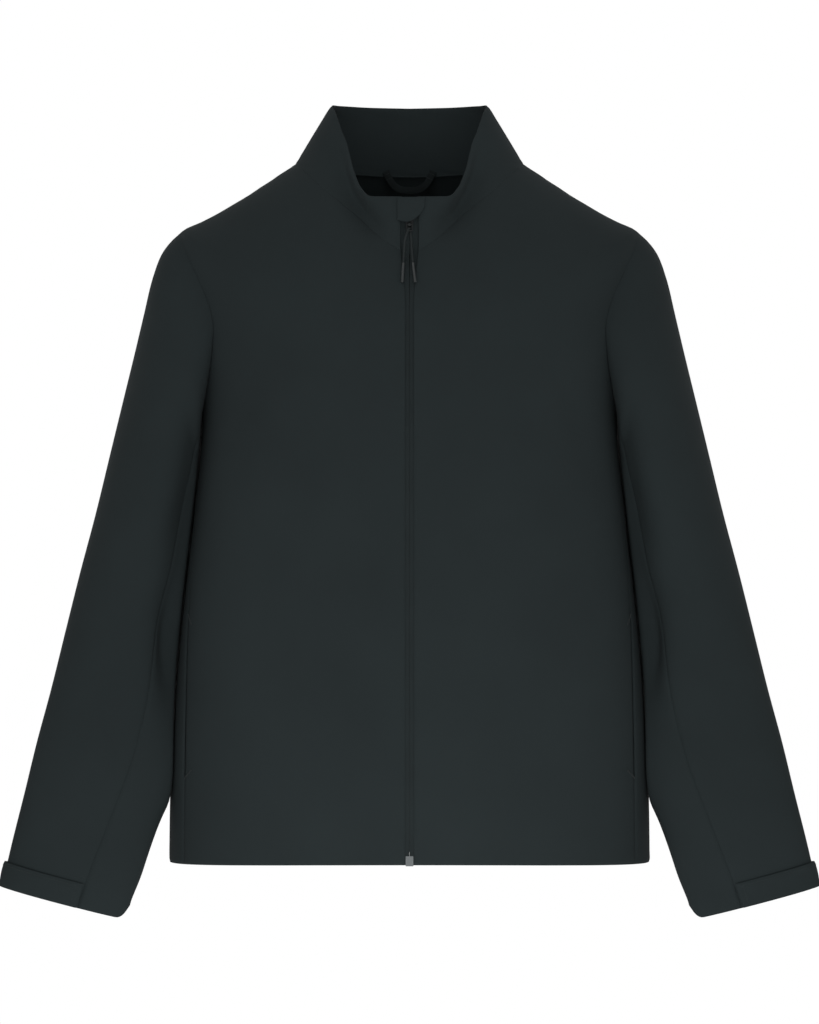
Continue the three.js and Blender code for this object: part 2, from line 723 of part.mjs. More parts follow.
const SLEEVE_PLACES = [];
for (let i = 0; i <= SLEEVE_ROWS; i += 1) {
  const t = i / SLEEVE_ROWS;
  SLEEVE_PLACES.push(AT_CUFF * (0.75 * t + 0.25 * t * t));
}

const sleeveCell = (at, angle) => ({ point: sleevePoint(at, angle), normal: sleeveNormal(at, angle) });

// First row of a sleeve piece: its edge in the armhole seam, with corners where the body's edge has them
function armholeRow(from, to, columns) {
  const corner = (angle) => {
    const seam = armholeSeam(angle);
    return { point: seam.point.addScaledVector(seam.onward, SEAM / 2), normal: seam.sleeveCut };
  };
  const row = [];
  for (let j = 0; j <= columns; j += 1) {
    const angle = from + ((to - from) * j) / columns;
    const low = Math.floor(angle / ARMHOLE_STEP + 1e-6) * ARMHOLE_STEP;
    const part = (angle - low) / ARMHOLE_STEP;
    const cell = corner(low);
    if (part > 0.01) {
      const next = corner(low + ARMHOLE_STEP);
      cell.point.lerp(next.point, part);
      cell.normal.lerp(next.normal, part).normalize();
    }
    row.push(cell);
  }
  return row;
}

function sleeveGrid(fromSeam, toSeam, wrap, columns) {
  const grid = SLEEVE_PLACES.map((at) => {
    const from = SLEEVE_RINGS(at, fromSeam);
    const to = SLEEVE_RINGS(at, toSeam) + wrap;
    if (at === 0) return armholeRow(from, to, columns);
    const row = [];
    for (let j = 0; j <= columns; j += 1) row.push(sleeveCell(at, from + ((to - from) * j) / columns));
    return row;
  });
  return drawBackBorders(grid, { left: SEAM / 2, right: SEAM / 2 });
}

function tabGrid() {
  const grid = [];
  for (let i = 0; i <= TAB_ROWS; i += 1) {
    const at = AT_CUFF - TAB_HEIGHT_AT + (TAB_HEIGHT_AT * i) / TAB_ROWS;
    const from = SLEEVE_RINGS(at, "backSeam") + 3;
    const to = SLEEVE_RINGS(at, "frontSeam") - 1;
    const row = [];
    for (let j = 0; j <= TAB_COLUMNS; j += 1) row.push(sleeveCell(at, from + ((to - from) * j) / TAB_COLUMNS));
    grid.push(row);
  }
  return grid;
}

const tabLift = (i, j) => LAY + TAB_THICK + TAB_STAND * Math.sin((Math.PI * j) / TAB_COLUMNS);

// Collar: from the neck seam to its top edge. share: 0 front middle, 1 back middle
const NECK_TURNS = [];
for (const [from, to] of [[0, 0.5], [0.5, 1]]) {
  const turns = evenTurns(AT_NECK, from, to, 100);
  NECK_TURNS.push(...(from === 0 ? turns : turns.slice(1)));
}

function neckTurn(share) {
  const place =
    share < COLLAR_SIDE_SHARE
      ? (share / COLLAR_SIDE_SHARE) * 100
      : 100 + ((share - COLLAR_SIDE_SHARE) / (1 - COLLAR_SIDE_SHARE)) * 100;
  const i = Math.min(Math.floor(place), 199);
  return NECK_TURNS[i] + (NECK_TURNS[i + 1] - NECK_TURNS[i]) * (place - i);
}

function collarPoint(up, share) {
  const bottom = bodyRing(AT_NECK, neckTurn(share));
  const top = vec(COLLAR_TOP(share, "x"), COLLAR_TOP(share, "y"), COLLAR_TOP(share, "z"));
  const point = bottom.lerp(top, up);
  const middle = vec(0, -15, point.z);
  const away = point.clone().sub(middle).normalize();
  point.addScaledVector(away, COLLAR_BULGE * 4 * up * (1 - up) * smooth(share / 0.2));
  return sinkValley(point);
}

function collarNormal(up, share) {
  const u = Math.min(Math.max(up, 0.02), 0.98);
  const s = Math.min(Math.max(share, 0.004), 0.996);
  return outward(collarPoint, u, s, 0.02, 0.004, -1);
}

const collarCell = (up, share) => ({ point: collarPoint(up, share), normal: collarNormal(up, share) });

function collarShareAt(up, x) {
  return solve((share) => collarPoint(up, share).x - x, 0, 0.12);
}

function collarGrid() {
  const half = [];
  for (let i = 0; i <= COLLAR_ROWS; i += 1) {
    const up = i / COLLAR_ROWS;
    let x = 8.6;
    for (let k = 0; k < 4; k += 1) x = halfOpening(collarPoint(up, collarShareAt(up, x)).z);
    const start = collarShareAt(up, x);
    const row = [];
    for (let j = 0; j <= COLLAR_COLUMNS; j += 1) {
      row.push(collarCell(up, 1 + ((start - 1) * j) / COLLAR_COLUMNS));
    }
    half.push(row);
  }
  const other = mirrored(half);
  const grid = half.map((row, i) => [...other[i].slice(1).reverse(), ...row]);
  grid.forEach((row) => row[COLLAR_COLUMNS].normal.setX(0).normalize());
  return drawBackBorders(grid, { first: SEAM / 2 });
}

// Front middle strip of body and collar together. up: 0 hem, 1 neck seam, 2 collar top
function stripCell(up, x) {
  const side = x < 0 ? -1 : 1;
  const reach = Math.abs(x);
  let cell;
  if (up < 1) {
    const at = AT_NECK * up;
    cell = bodyCell(at, frontTurnAt(at, reach));
  } else {
    cell = collarCell(up - 1, collarShareAt(up - 1, reach));
  }
  if (side < 0) {
    cell.point.x *= -1;
    cell.normal.x *= -1;
  }
  if (reach < 0.01) cell.normal.setX(0).normalize();
  return cell;
}

const stripUpAt = (z) => solve((up) => stripCell(up, 1).point.z - z, 0, 2);

const TAPE_PLACES = [];
{
  const top = stripUpAt(TAPE_TOP_Z);
  const body = 26;
  for (let i = 0; i <= body; i += 1) TAPE_PLACES.push(i / body);
  for (let i = 1; i <= 3; i += 1) TAPE_PLACES.push(1 + ((top - 1) * i) / 3);
}

function tapeGrid() {
  return TAPE_PLACES.map((up) => {
    const row = [];
    for (let j = 0; j <= TAPE_COLUMNS; j += 1) {
      row.push(stripCell(up, TAPE_GAP + ((TAPE_WIDTH - TAPE_GAP) * j) / TAPE_COLUMNS));
    }
    return row;
  });
}
const TAPE_FACE = -(COLLAR_CLOTH + TAPE_LAY); // how deep the tape's face lies under the outer face

function garageGrid() {
  const upTop = 1.985;
  const grid = [[], [], [], []];
  for (let j = 0; j <= GARAGE_COLUMNS; j += 1) {
    const x = GARAGE_LEFT + ((GARAGE_RIGHT - GARAGE_LEFT) * j) / GARAGE_COLUMNS;
    const round = Math.sqrt(Math.max(1 - Math.pow(Math.max(x, 0) / GARAGE_RIGHT, 2), 0));
    const zBottom = GARAGE_CORNER_Z + (GARAGE_BOTTOM_Z - GARAGE_CORNER_Z) * round;
    const upBottom = stripUpAt(zBottom);
    for (let i = 0; i < 4; i += 1) grid[i].push(stripCell(upTop + ((upBottom - upTop) * i) / 3, x));
  }
  return grid;
}

// Pocket facing: lies behind the pocket mouth, made from the two panels' own points
function pocketFacingGrid() {
  const front = frontGrid();
  const back = backGrid();
  const grid = [];
  panelRows(1).forEach(({ at }, i) => {
    if (!isPocket(at)) return;
    const seam = bodyCell(at, seamTurn(at));
    const half = (cell) => ({
      point: cell.point.clone().lerp(seam.point, 0.5),
      normal: cell.normal.clone().lerp(seam.normal, 0.5).normalize(),
    });
    grid.push([half(front[i][FRONT_COLUMNS - 1]), seam, half(back[i][2 * BACK_COLUMNS - 1])]);
  });
  return grid;
}

// Hanger loop: a strap that hangs in front of the back's inner face
function loopGeometry() {
  const frames = [];
  for (let i = 0; i <= LOOP_STEPS; i += 1) {
    const t = i / LOOP_STEPS;
    const x = -LOOP_HALF_SPAN + 2 * LOOP_HALF_SPAN * t;
    const sag = 1 - Math.pow(Math.abs(x) / LOOP_HALF_SPAN, 3.2);
    const z = LOOP_TOP_Z + (LOOP_SAG_Z + LOOP_WIDTH / 2 - LOOP_TOP_Z) * sag;
    const seat = solve((share) => collarPoint(LOOP_SEAT_UP, share).x - Math.abs(x), 0.7, 1);
    const inner = COLLAR_CLOTH + 4 * LAY + LOOP_THICK / 2;
    frames.push(vec(x, collarPoint(LOOP_SEAT_UP, seat).y - inner - LOOP_FORWARD * sag, z));
  }
  const positions = [];
  frames.forEach((p, i) => {
    const before = frames[Math.max(i - 1, 0)];
    const after = frames[Math.min(i + 1, LOOP_STEPS)];
    const along = after.clone().sub(before).setY(0).normalize();
    const side = vec(-along.z, 0, along.x);
    for (const [w, y] of [[-1, -1], [1, -1], [1, 1], [-1, 1]]) {
      const q = p.clone().addScaledVector(side, (w * LOOP_WIDTH) / 2);
      positions.push(q.x, q.y + (y * LOOP_THICK) / 2, q.z);
    }
  });
  const index = [];
  const quad = (a, b, c, d) => index.push(a, b, c, a, c, d);
  for (let i = 0; i < LOOP_STEPS; i += 1) {
    for (let k = 0; k < 4; k += 1) {
      const n = (k + 1) % 4;
      quad(4 * i + k, 4 * i + n, 4 * i + 4 + n, 4 * i + 4 + k);
    }
  }
  const end = 4 * LOOP_STEPS;
  quad(3, 2, 1, 0);
  quad(end, end + 1, end + 2, end + 3);
  return facingOut(positions, index);
}

// Small hard parts
const FACE_Y = stripCell(stripUpAt(HINGE_Z), 0.5).point.y; // collar's front face at the slider
const outY = (out) => FACE_Y - out;
const outYAt = (out, z) => stripCell(stripUpAt(z), 0.5).point.y - out;
const PLATE_BACK = TAPE_FACE + LAY; // slider's front plate, outward from the collar's face
const PLATE_FRONT = PLATE_BACK + SLIDER_PLATE;
const PLATE_UNDER = TAPE_FACE - TAPE_THICK - LAY;

const solidOf = (geometry) => {
  const flat = geometry.index ? geometry.toNonIndexed() : geometry;
  const position = flat.getAttribute("position");
  const triVerts = new Uint32Array(position.count).map((_, i) => i);
  const mesh = new wasm.Mesh({ numProp: 3, vertProperties: new Float32Array(position.array), triVerts });
  mesh.merge();
  return new wasm.Manifold(mesh);
};

function geometryOf(solid) {
  const mesh = solid.getMesh();
  const geometry = new THREE.BufferGeometry();
  geometry.setAttribute("position", new THREE.Float32BufferAttribute(Array.from(mesh.vertProperties), mesh.numProp));
  geometry.setIndex(Array.from(mesh.triVerts));
  return geometry.toNonIndexed();
}

// A closed outline in depth and height, pushed out to both sides of the middle
function slab(points, halfWidth, holes = []) {
  const outline = new THREE.Shape(points.map(([y, z]) => new THREE.Vector2(y, z)));
  for (const hole of holes) outline.holes.push(new THREE.Path(hole.map(([y, z]) => new THREE.Vector2(y, z))));
  const geometry = new THREE.ExtrudeGeometry(outline, { depth: 2 * halfWidth, bevelEnabled: false });
  const turn = new THREE.Matrix4().makeBasis(vec(0, 1, 0), vec(0, 0, 1), vec(1, 0, 0));
  geometry.applyMatrix4(turn);
  return geometry.translate(-halfWidth, 0, 0);
}

function roundedBox(y0, y1, z0, z1, corner) {
  const cut = corner;
  return [
    [y0 + cut, z0],
    [y1 - cut, z0],
    [y1, z0 + cut],
    [y1, z1 - cut],
    [y1 - cut, z1],
    [y0 + cut, z1],
    [y0, z1 - cut],
    [y0, z0 + cut],
  ];
}

function sliderGeometry() {
  const front = outY(PLATE_FRONT);
  const frontBack = outY(PLATE_BACK);
  const underFront = outY(PLATE_UNDER);
  const under = outY(PLATE_UNDER - SLIDER_PLATE);
  const neck = SLIDER_TOP_Z - SLIDER_NOSE;
  const body = slab(
    [
      [front, SLIDER_BOTTOM_Z],
      [frontBack, SLIDER_BOTTOM_Z],
      [frontBack, neck],
      [underFront, neck],
      [underFront, SLIDER_BOTTOM_Z],
      [under, SLIDER_BOTTOM_Z],
      [under, SLIDER_TOP_Z - 1],
      [under - 1, SLIDER_TOP_Z],
      [front + 1, SLIDER_TOP_Z],
      [front, SLIDER_TOP_Z - 1],
    ],
    SLIDER_HALF_WIDTH,
  );
  const hole = RING_BAR / 2 + 0.4;
  const bridge = slab(
    roundedBox(
      outY(HINGE_OUT + hole + BRIDGE_BAR),
      outY(PLATE_FRONT - 0.4),
      HINGE_Z - BRIDGE_HALF_HEIGHT,
      HINGE_Z + BRIDGE_HALF_HEIGHT,
      0.6,
    ),
    BRIDGE_HALF_WIDTH,
    [
      [
        [outY(HINGE_OUT + hole), HINGE_Z - hole],
        [outY(HINGE_OUT - hole), HINGE_Z - hole],
        [outY(HINGE_OUT - hole), HINGE_Z + hole],
        [outY(HINGE_OUT + hole), HINGE_Z + hole],
      ],
    ],
  );
  return geometryOf(solidOf(body).add(solidOf(bridge)));
}

// Flat ring of the pull, its upper bar through the slider's bridge
function pullRingGeometry() {
  const bar = RING_BAR;
  const top = HINGE_Z + bar / 2;
  const bottom = top - RING_LENGTH;
  const cut = 0.9;
  const frame = (half, low, high, corner) => [
    [-half + corner, low],
    [half - corner, low],
    [half, low + corner],
    [half, high - corner],
    [half - corner, high],
    [-half + corner, high],
    [-half, high - corner],
    [-half, low + corner],
  ];
  const vector = ([x, z]) => new THREE.Vector2(x, z);
  const outline = new THREE.Shape(frame(RING_HALF_WIDTH, bottom, top, cut).map(vector));
  const inner = frame(RING_HALF_WIDTH - bar, bottom + bar, top - bar, 0.3).map(vector);
  outline.holes.push(new THREE.Path(inner));
  const geometry = new THREE.ExtrudeGeometry(outline, { depth: bar, bevelEnabled: false });
  geometry.rotateX(Math.PI / 2);
  return geometry.translate(0, outY(HINGE_OUT) + bar / 2, 0);
}

// Pull cord folded over the ring's lower bar, with two free legs
const BAR_Z = HINGE_Z + RING_BAR / 2 - RING_LENGTH + RING_BAR / 2;
const LEG_OUT = RING_BAR / 2 + LAY + CORD_RADIUS;
const CORD_POINTS = rows(
  ["x", "out", "z"],
  [
    [-6.0, 3.0, -103.2],
    [-5.4, 3.4, -92.0],
    [-4.2, 4.6, -80.0],
    [-2.2, HINGE_OUT + LEG_OUT, BAR_Z - 1.5],
    [-1.0, HINGE_OUT + LEG_OUT * 0.72, BAR_Z + LEG_OUT * 0.72],
    [0, HINGE_OUT, BAR_Z + LEG_OUT + 0.1],
    [0.6, HINGE_OUT - LEG_OUT * 0.72, BAR_Z + LEG_OUT * 0.72],
    [1.0, HINGE_OUT - LEG_OUT, BAR_Z - 1.5],
    [1.5, 1.2, -80.0],
    [2.2, 2.2, -91.0],
    [3.2, 2.7, -103.2],
  ],
);
const LEGS_FREE_Z = -85; // below this the legs follow the face of the front
const CORD_PATH = new THREE.CatmullRomCurve3(
  CORD_POINTS.map((p) => vec(p.x, p.z < LEGS_FREE_Z ? outYAt(p.out, p.z) : outY(p.out), p.z)),
  false,
  "centripetal",
);
const TIP_ENDS = rows(
  ["x", "out", "z", "endX", "endOut"],
  [
    [-6.0, 3.0, -103.2, -7.1, 2.8],
    [3.2, 2.7, -103.2, 5.5, 2.8],
  ],
);

function disc(radius, corners) {
  const shape = new THREE.Shape();
  for (let k = 0; k < corners; k += 1) {
    const angle = (2 * Math.PI * k) / corners;
    const x = radius * Math.cos(angle);
    const y = radius * Math.sin(angle);
    if (k === 0) shape.moveTo(x, y);
    else shape.lineTo(x, y);
  }
  shape.closePath();
  return shape;
}

function cordGeometry() {
  return new THREE.ExtrudeGeometry(disc(CORD_RADIUS, 8), {
    steps: CORD_STEPS,
    bevelEnabled: false,
    extrudePath: CORD_PATH,
  });
}

function tipGeometry(end) {
  const from = vec(end.x, outYAt(end.out, end.z), end.z);
  const to = vec(end.endX, outYAt(end.endOut, end.z - TIP_LENGTH), end.z - TIP_LENGTH);
  const along = to.clone().sub(from);
  const length = along.length() - SEAM;
  const profile = [
    [0, 0],
    [TIP_RADIUS - 0.3, 0],
    [TIP_RADIUS, 0.4],
    [TIP_RADIUS, length - 0.5],
    [TIP_RADIUS - 0.4, length],
    [0, length],
  ].map(([r, h]) => new THREE.Vector2(r, h));
  const geometry = new THREE.LatheGeometry(profile, 10);
  along.normalize();
  geometry.applyQuaternion(new THREE.Quaternion().setFromUnitVectors(vec(0, 1, 0), along));
  const start = from.addScaledVector(along, SEAM);
  return geometry.translate(start.x, start.y, start.z);
}

function boxGeometry() {
  const low = stripCell(0, 1).point;
  const face = low.y + COLLAR_CLOTH + LAY - LAY;
  return slab(roundedBox(face - 2.2, face, low.z - 1, low.z + BOX_HEIGHT - 1, 0.5), BOX_HALF_WIDTH);
}

const CLOTH_COLOUR = 0x242a2a;
const group = new THREE.Group();

function add(name, geometry, color, roughness = 0.9) {
  const mesh = new THREE.Mesh(geometry, new THREE.MeshStandardMaterial({ color, roughness }));
  mesh.name = name;
  group.add(mesh);
}

function addPair(name, grid, thickness, lift, color) {
  add(name + "_left", wall(grid, thickness, lift), color);
  add(name + "_right", wall(mirrored(grid), thickness, lift), color);
}

// Left and right are the wearer's: the wearer's left is on +X
addPair("front", frontGrid(), CLOTH, 0, CLOTH_COLOUR);
add("back", wall(backGrid(), CLOTH), CLOTH_COLOUR);
addPair("sleeve_upper", sleeveGrid("backSeam", "frontSeam", 0, UPPER_SLEEVE_COLUMNS), CLOTH, 0, CLOTH_COLOUR);
addPair("sleeve_under", sleeveGrid("frontSeam", "backSeam", 360, UNDER_SLEEVE_COLUMNS), CLOTH, 0, CLOTH_COLOUR);
addPair("cuff_tab", tabGrid(), TAB_THICK, tabLift, CLOTH_COLOUR);
addPair("pocket_facing", pocketFacingGrid(), 1.0, -(CLOTH + POCKET_FACING_LAY), CLOTH_COLOUR);
add("collar", wall(collarGrid(), COLLAR_CLOTH), CLOTH_COLOUR);
addPair("zip_tape", tapeGrid(), TAPE_THICK, TAPE_FACE, 0x1d2222);
add("zip_garage", wall(garageGrid(), GARAGE_THICK, LAY + GARAGE_THICK), CLOTH_COLOUR);
add("hanger_loop", loopGeometry(), 0x1a1f1f);
add("zip_box", boxGeometry(), 0x424748, 0.5);
add("zip_slider", sliderGeometry(), 0x1a1c1d, 0.4);
add("pull_ring", pullRingGeometry(), 0x1a1c1d, 0.4);
add("pull_cord", cordGeometry(), 0x181c1c);
TIP_ENDS.forEach((end, i) => add(i === 0 ? "pull_tip_right" : "pull_tip_left", tipGeometry(end), 0x2a2e2f, 0.5));

export default group;
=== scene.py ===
# %% [markdown]
# # A softshell jacket, zipped up and filled out
# The jacket hangs open inside, as if a wearer had just stepped out of it. The frame below is its CAD
# model: plain walls of cloth with the right form. Here each wall is made again with finer rows, rolled
# seams, creases, stitching and a cloth finish, and the zip gets its coil.
# Lengths are in millimetres, as on a cutting table, and become metres only in the mesh.

import bpy
import numpy as np
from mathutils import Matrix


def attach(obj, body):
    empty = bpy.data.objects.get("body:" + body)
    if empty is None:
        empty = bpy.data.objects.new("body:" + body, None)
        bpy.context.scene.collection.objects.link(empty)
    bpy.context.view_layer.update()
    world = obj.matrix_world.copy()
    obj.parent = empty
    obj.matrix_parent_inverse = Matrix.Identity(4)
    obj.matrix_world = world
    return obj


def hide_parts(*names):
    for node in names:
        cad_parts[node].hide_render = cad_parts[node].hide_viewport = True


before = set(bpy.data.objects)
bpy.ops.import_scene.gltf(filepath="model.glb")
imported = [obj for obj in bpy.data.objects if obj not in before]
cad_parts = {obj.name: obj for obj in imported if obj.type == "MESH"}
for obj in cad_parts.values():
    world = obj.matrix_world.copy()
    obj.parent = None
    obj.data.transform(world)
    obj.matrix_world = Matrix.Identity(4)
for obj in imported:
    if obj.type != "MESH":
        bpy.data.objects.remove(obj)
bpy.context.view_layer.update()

# %% [markdown]
# ## The camera first
# The camera stands level with the middle of the jacket, four metres in front of it, with a long lens.
# A long lens keeps the sleeves and the body at one scale, as in a catalogue picture.

# %% Camera
MM = 0.001
VIEW_DISTANCE = 4000.0
VIEW_HEIGHT = -347.0
FRAME_HEIGHT = 1024.0
SENSOR_HEIGHT = 24.0


def add_camera():
    """A level camera whose frame is 1024 mm high on the middle plane of the jacket."""
    data = bpy.data.cameras.new("camera")
    data.sensor_fit = "VERTICAL"
    data.sensor_height = SENSOR_HEIGHT
    data.lens = SENSOR_HEIGHT * VIEW_DISTANCE / FRAME_HEIGHT
    data.clip_end = 50.0
    camera = bpy.data.objects.new("camera", data)
    camera.location = (0.0, -VIEW_DISTANCE * MM, VIEW_HEIGHT * MM)
    camera.rotation_euler = (np.pi / 2, 0.0, 0.0)
    bpy.context.scene.collection.objects.link(camera)
    bpy.context.scene.camera = camera


add_camera()
print("lens:", round(bpy.context.scene.camera.data.lens, 1), "mm")

# %% [markdown]
# ## Reading the size tables
# The cut is written as short tables, one row for each section. A smooth curve runs through the rows.
# Straight lines between the rows would show as creases across the cloth.


# %% Tables
def table(names, rows):
    """Returns read(at, name): a cubic through the rows, whose slope at a row is that of the parabola
    through it and its two neighbours."""
    values = np.array(rows, float)
    key = values[:, 0]
    steps = np.diff(key)
    slopes = {}
    for i, name in enumerate(names):
        rise = np.diff(values[:, i]) / steps
        middle = (rise[:-1] * steps[1:] + rise[1:] * steps[:-1]) / (steps[1:] + steps[:-1])
        slopes[name] = np.concatenate([[rise[0]], middle, [rise[-1]]])

    def read(at, name):
        column = values[:, names.index(name)]
        place = np.clip(np.asarray(at, float), key[0], key[-1])
        i = np.clip(np.searchsorted(key, place, side="right") - 1, 0, len(key) - 2)
        span = steps[i]
        t = (place - key[i]) / span
        m0 = slopes[name][i] * span
        m1 = slopes[name][i + 1] * span
        return (
            (2 * t**3 - 3 * t**2 + 1) * column[i]
            + (t**3 - 2 * t**2 + t) * m0
            + (3 * t**2 - 2 * t**3) * column[i + 1]
            + (t**3 - t**2) * m1
        )

    return read


# Body: one row for each ring, from the hem (0) to the neck (6.7). Its highest points are over the shoulders.
BODY_RINGS = table(
    ["at", "half_width", "mid_y", "front_depth", "back_depth"]
    + ["z_front", "z_side", "z_back", "square", "front_lift", "back_lift"],
    [
        [0.0, 240, -2, 110, 106, -690.5, -695.5, -695.5, 2.3, 2.2, 2.0],
        [0.8, 238.5, -2, 111, 105, -612, -614, -614, 2.3, 2.2, 2.0],
        [1.6, 233, -2, 112, 102, -530, -530, -530, 2.35, 2.2, 2.0],
        [2.4, 225, -2, 112, 99, -444, -440, -438, 2.4, 2.2, 2.0],
        [3.2, 214, -2, 113, 101, -352, -342, -336, 2.4, 2.2, 2.0],
        [4.0, 207, -2, 115, 108, -270, -250, -240, 2.4, 2.2, 2.0],
        [4.8, 220, -2, 112, 112, -207, -157, -162, 2.35, 2.15, 2.0],
        [5.6, 226.5, -2, 106, 99, -153, -66.5, -92, 2.25, 1.9, 1.9],
        [5.8, 208, -1.5, 104, 93.5, -142, -57.5, -79, 2.2, 1.8, 1.9],
        [6.2, 171.5, 1, 100, 80, -120, -37, -48, 2.1, 1.5, 1.9],
        [6.7, 114, 5, 93.5, 52, -95.5, 1, -7, 2.0, 1.25, 1.8],
    ],
)
# Sleeve: one row for each ring, from the armhole (0) to the cuff (14); the seams are degrees round it.
SLEEVE_RINGS = table(
    ["at", "out_x", "out_z", "in_x", "in_z", "mid_y"]
    + ["front_depth", "back_depth", "square", "front_seam", "back_seam"],
    [
        [0.0, 226.5, -66.5, 206.5, -250, -2, 64, 64, 2.1, 150, -135],
        [0.6, 237, -76, 206.8, -260, -2, 67, 66, 2.1, 150, -135],
        [1.2, 246.5, -88.5, 207.2, -270, -2, 69, 68, 2.1, 149.5, -135],
        [2.0, 256, -113, 207, -283, -1, 71, 70, 2.1, 149, -134.5],
        [3.0, 265, -149, 207, -300, 1, 71, 71, 2.1, 147, -133.5],
        [4.0, 275, -190, 205.2, -320, 3, 70, 71, 2.1, 144, -132],
        [5.0, 286.5, -236, 205, -346, 5, 68, 69, 2.1, 140, -128],
        [6.0, 299.5, -289, 207, -376, 6, 65, 65, 2.1, 136, -124],
        [7.0, 314, -349, 211, -411, 5, 60, 60, 2.15, 131, -119],
        [8.0, 329.5, -408, 215.5, -449, 2, 53, 53, 2.15, 126, -114],
        [9.0, 343.7, -466, 219.5, -497, -2, 46, 45, 2.2, 120, -109],
        [10.0, 357.5, -524, 224, -556, -10, 39, 37, 2.2, 114, -104],
        [11.0, 370.3, -575, 232.5, -608, -23, 33, 30, 2.2, 110, -100],
        [12.0, 382, -626, 250, -659, -32, 27, 25, 2.2, 107, -97],
        [13.0, 394, -676, 266, -709, -39, 23, 21, 2.2, 103, -95],
        [14.0, 403, -717, 277.5, -750, -43, 20, 18, 2.2, 100, -93],
    ],
)
# Depth of the side-front seam up the body, half width of the zip's opening, and the collar's top line.
SIDE_SEAM = table(["at", "y"], [[0.0, -50.5], [0.8, -50], [1.6, -46], [2.4, -37], [3.2, -24], [4.0, -2]])
ZIP_OPENING = table(
    ["z", "half"],
    [[-700, 4.3], [-175, 4.3], [-155, 4.3], [-135, 4.6], [-112, 6.5], [-92, 8.6], [-55, 8.6], [-30, 7.0]],
)
COLLAR_TOP = table(
    ["share", "x", "y", "z"],
    [
        [0.0, 0, -88, -38],
        [0.1, 27, -86.5, -38],
        [0.15, 41.5, -82, -37],
        [0.21, 50, -71, -28],
        [0.28, 57, -58, -9],
        [0.4, 65, -38, 23],
        [0.53, 75, -12, 52],
        [0.62, 78.5, 8, 60.5],
        [0.72, 70, 33, 62.5],
        [0.84, 42, 52, 62.5],
        [1.0, 0, 58, 62],
    ],
)
CLOTH, COLLAR_CLOTH, LAY = 2.0, 2.6, 0.3
AT_UNDERARM, AT_SHOULDER, AT_NECK, AT_CUFF = 4.0, 5.6, 6.7, 14.0
print("hem half width:", float(BODY_RINGS(0.0, "half_width")), "mm")
print("cuff's outer edge:", float(SLEEVE_RINGS(AT_CUFF, "out_x")), "mm from the middle")

# %% [markdown]
# ## Small tools for points
# Every piece below is worked out as a whole grid of points at once, as a cutter marks a whole piece before
# any is cut. These few rules are the ones that all the pieces use.


# %% Helpers
SIDES = (("left", False), ("right", True))
OTHER_SIDE = np.array([-1, 1, 1])


def points(x, y, z):
    """Stacks three arrays into points."""
    return np.stack(np.broadcast_arrays(x, y, z), axis=-1)


def unit(v):
    """Directions of length one."""
    return v / np.linalg.norm(v, axis=-1, keepdims=True)


def run_length(p, axis):
    """Distance along a grid's rows or columns from its first line."""
    steps = np.linalg.norm(np.diff(p, axis=axis), axis=-1)
    start = np.zeros_like(np.take(steps, [0], axis=axis))
    return np.concatenate([start, np.cumsum(steps, axis=axis)], axis=axis)


def along_line(places, run, line):
    """Points at places along a line, whose own points lie at run."""
    return points(*[np.interp(places, run, line[:, k]) for k in range(3)])


def bell(d):
    """1 at the middle, falling smoothly to nothing at about twice the size."""
    return np.exp(-d * d)


def smooth(t):
    """0 below 0, 1 above 1, and an even slope between."""
    u = np.clip(t, 0.0, 1.0)
    return u * u * (3 - 2 * u)


def solve(f, low, high, rounds=40):
    """Halves intervals, all at once, until f changes sign at the answers."""
    a, b = np.asarray(low, float), np.asarray(high, float)
    start = f(a) > 0
    for _ in range(rounds):
        m = (a + b) / 2
        same = (f(m) > 0) == start
        a, b = np.where(same, m, a), np.where(same, b, m)
    return (a + b) / 2


print("bell at one size from its middle:", round(float(bell(1.0)), 2))

# %% [markdown]
# ## Folds
# Softshell is stiff, so it makes few, broad creases. Each is a bell-shaped trough or ridge along a slanting
# line, placed where cloth gathers: under the arm, inside the elbow, at the waist and behind.
# A simulated drape would give more folds than this cloth makes.


# %% Folds
# x, z, depth, width, height, slant: on the front, then on the back. A negative depth is a trough.
FRONT_FOLDS = [
    [168, -265, -3.0, 16, 70, -0.35],
    [150, -470, -2.0, 26, 110, 0.12],
    [0, -124, -2.6, 15, 14, 0.0],
]
BACK_FOLDS = [
    [165, -255, -3.5, 18, 75, -0.3],
    [95, -330, -3.0, 22, 120, -0.12],
    [40, -560, -2.0, 34, 110, 0.1],
]
# at, angle, depth, length, spread, turn. The two deepest lie on the sleeve's inner side.
SLEEVE_FOLDS = [
    [4.2, 95, -3.0, 2.2, 20, -14],
    [6.3, 120, -2.4, 1.5, 18, -16],
    [8.6, 100, -2.2, 1.2, 24, -26],
    [9.4, -95, -3.0, 1.4, 26, 24],
    [7.6, -120, -2.6, 1.4, 22, 20],
    [5.0, -90, -2.6, 2.0, 20, 14],
    [5.8, 140, -15.0, 3.4, 26, 0],
    [8.8, 146, -14.0, 0.9, 24, 6],
    [10.5, -158, 9.0, 1.2, 34, 0],
    [2.6, 178, 3.0, 0.8, 22, 0],
]
# Folds start below the armhole and end above the cuff, each over a fade of this many rings.
FOLDS_START, FOLDS_STOP, FOLDS_FADE = 1.2, AT_CUFF - 1.0, 2.0


def body_folds(x, z, folds):
    """Sum of bells, each across a slanting line and along it."""
    total = np.zeros(np.broadcast(x, z).shape)
    for fx, fz, depth, width, height, slant in folds:
        dz = z - fz
        total = total + depth * bell((x - fx - slant * dz) / width) * bell(dz / height)
    return total


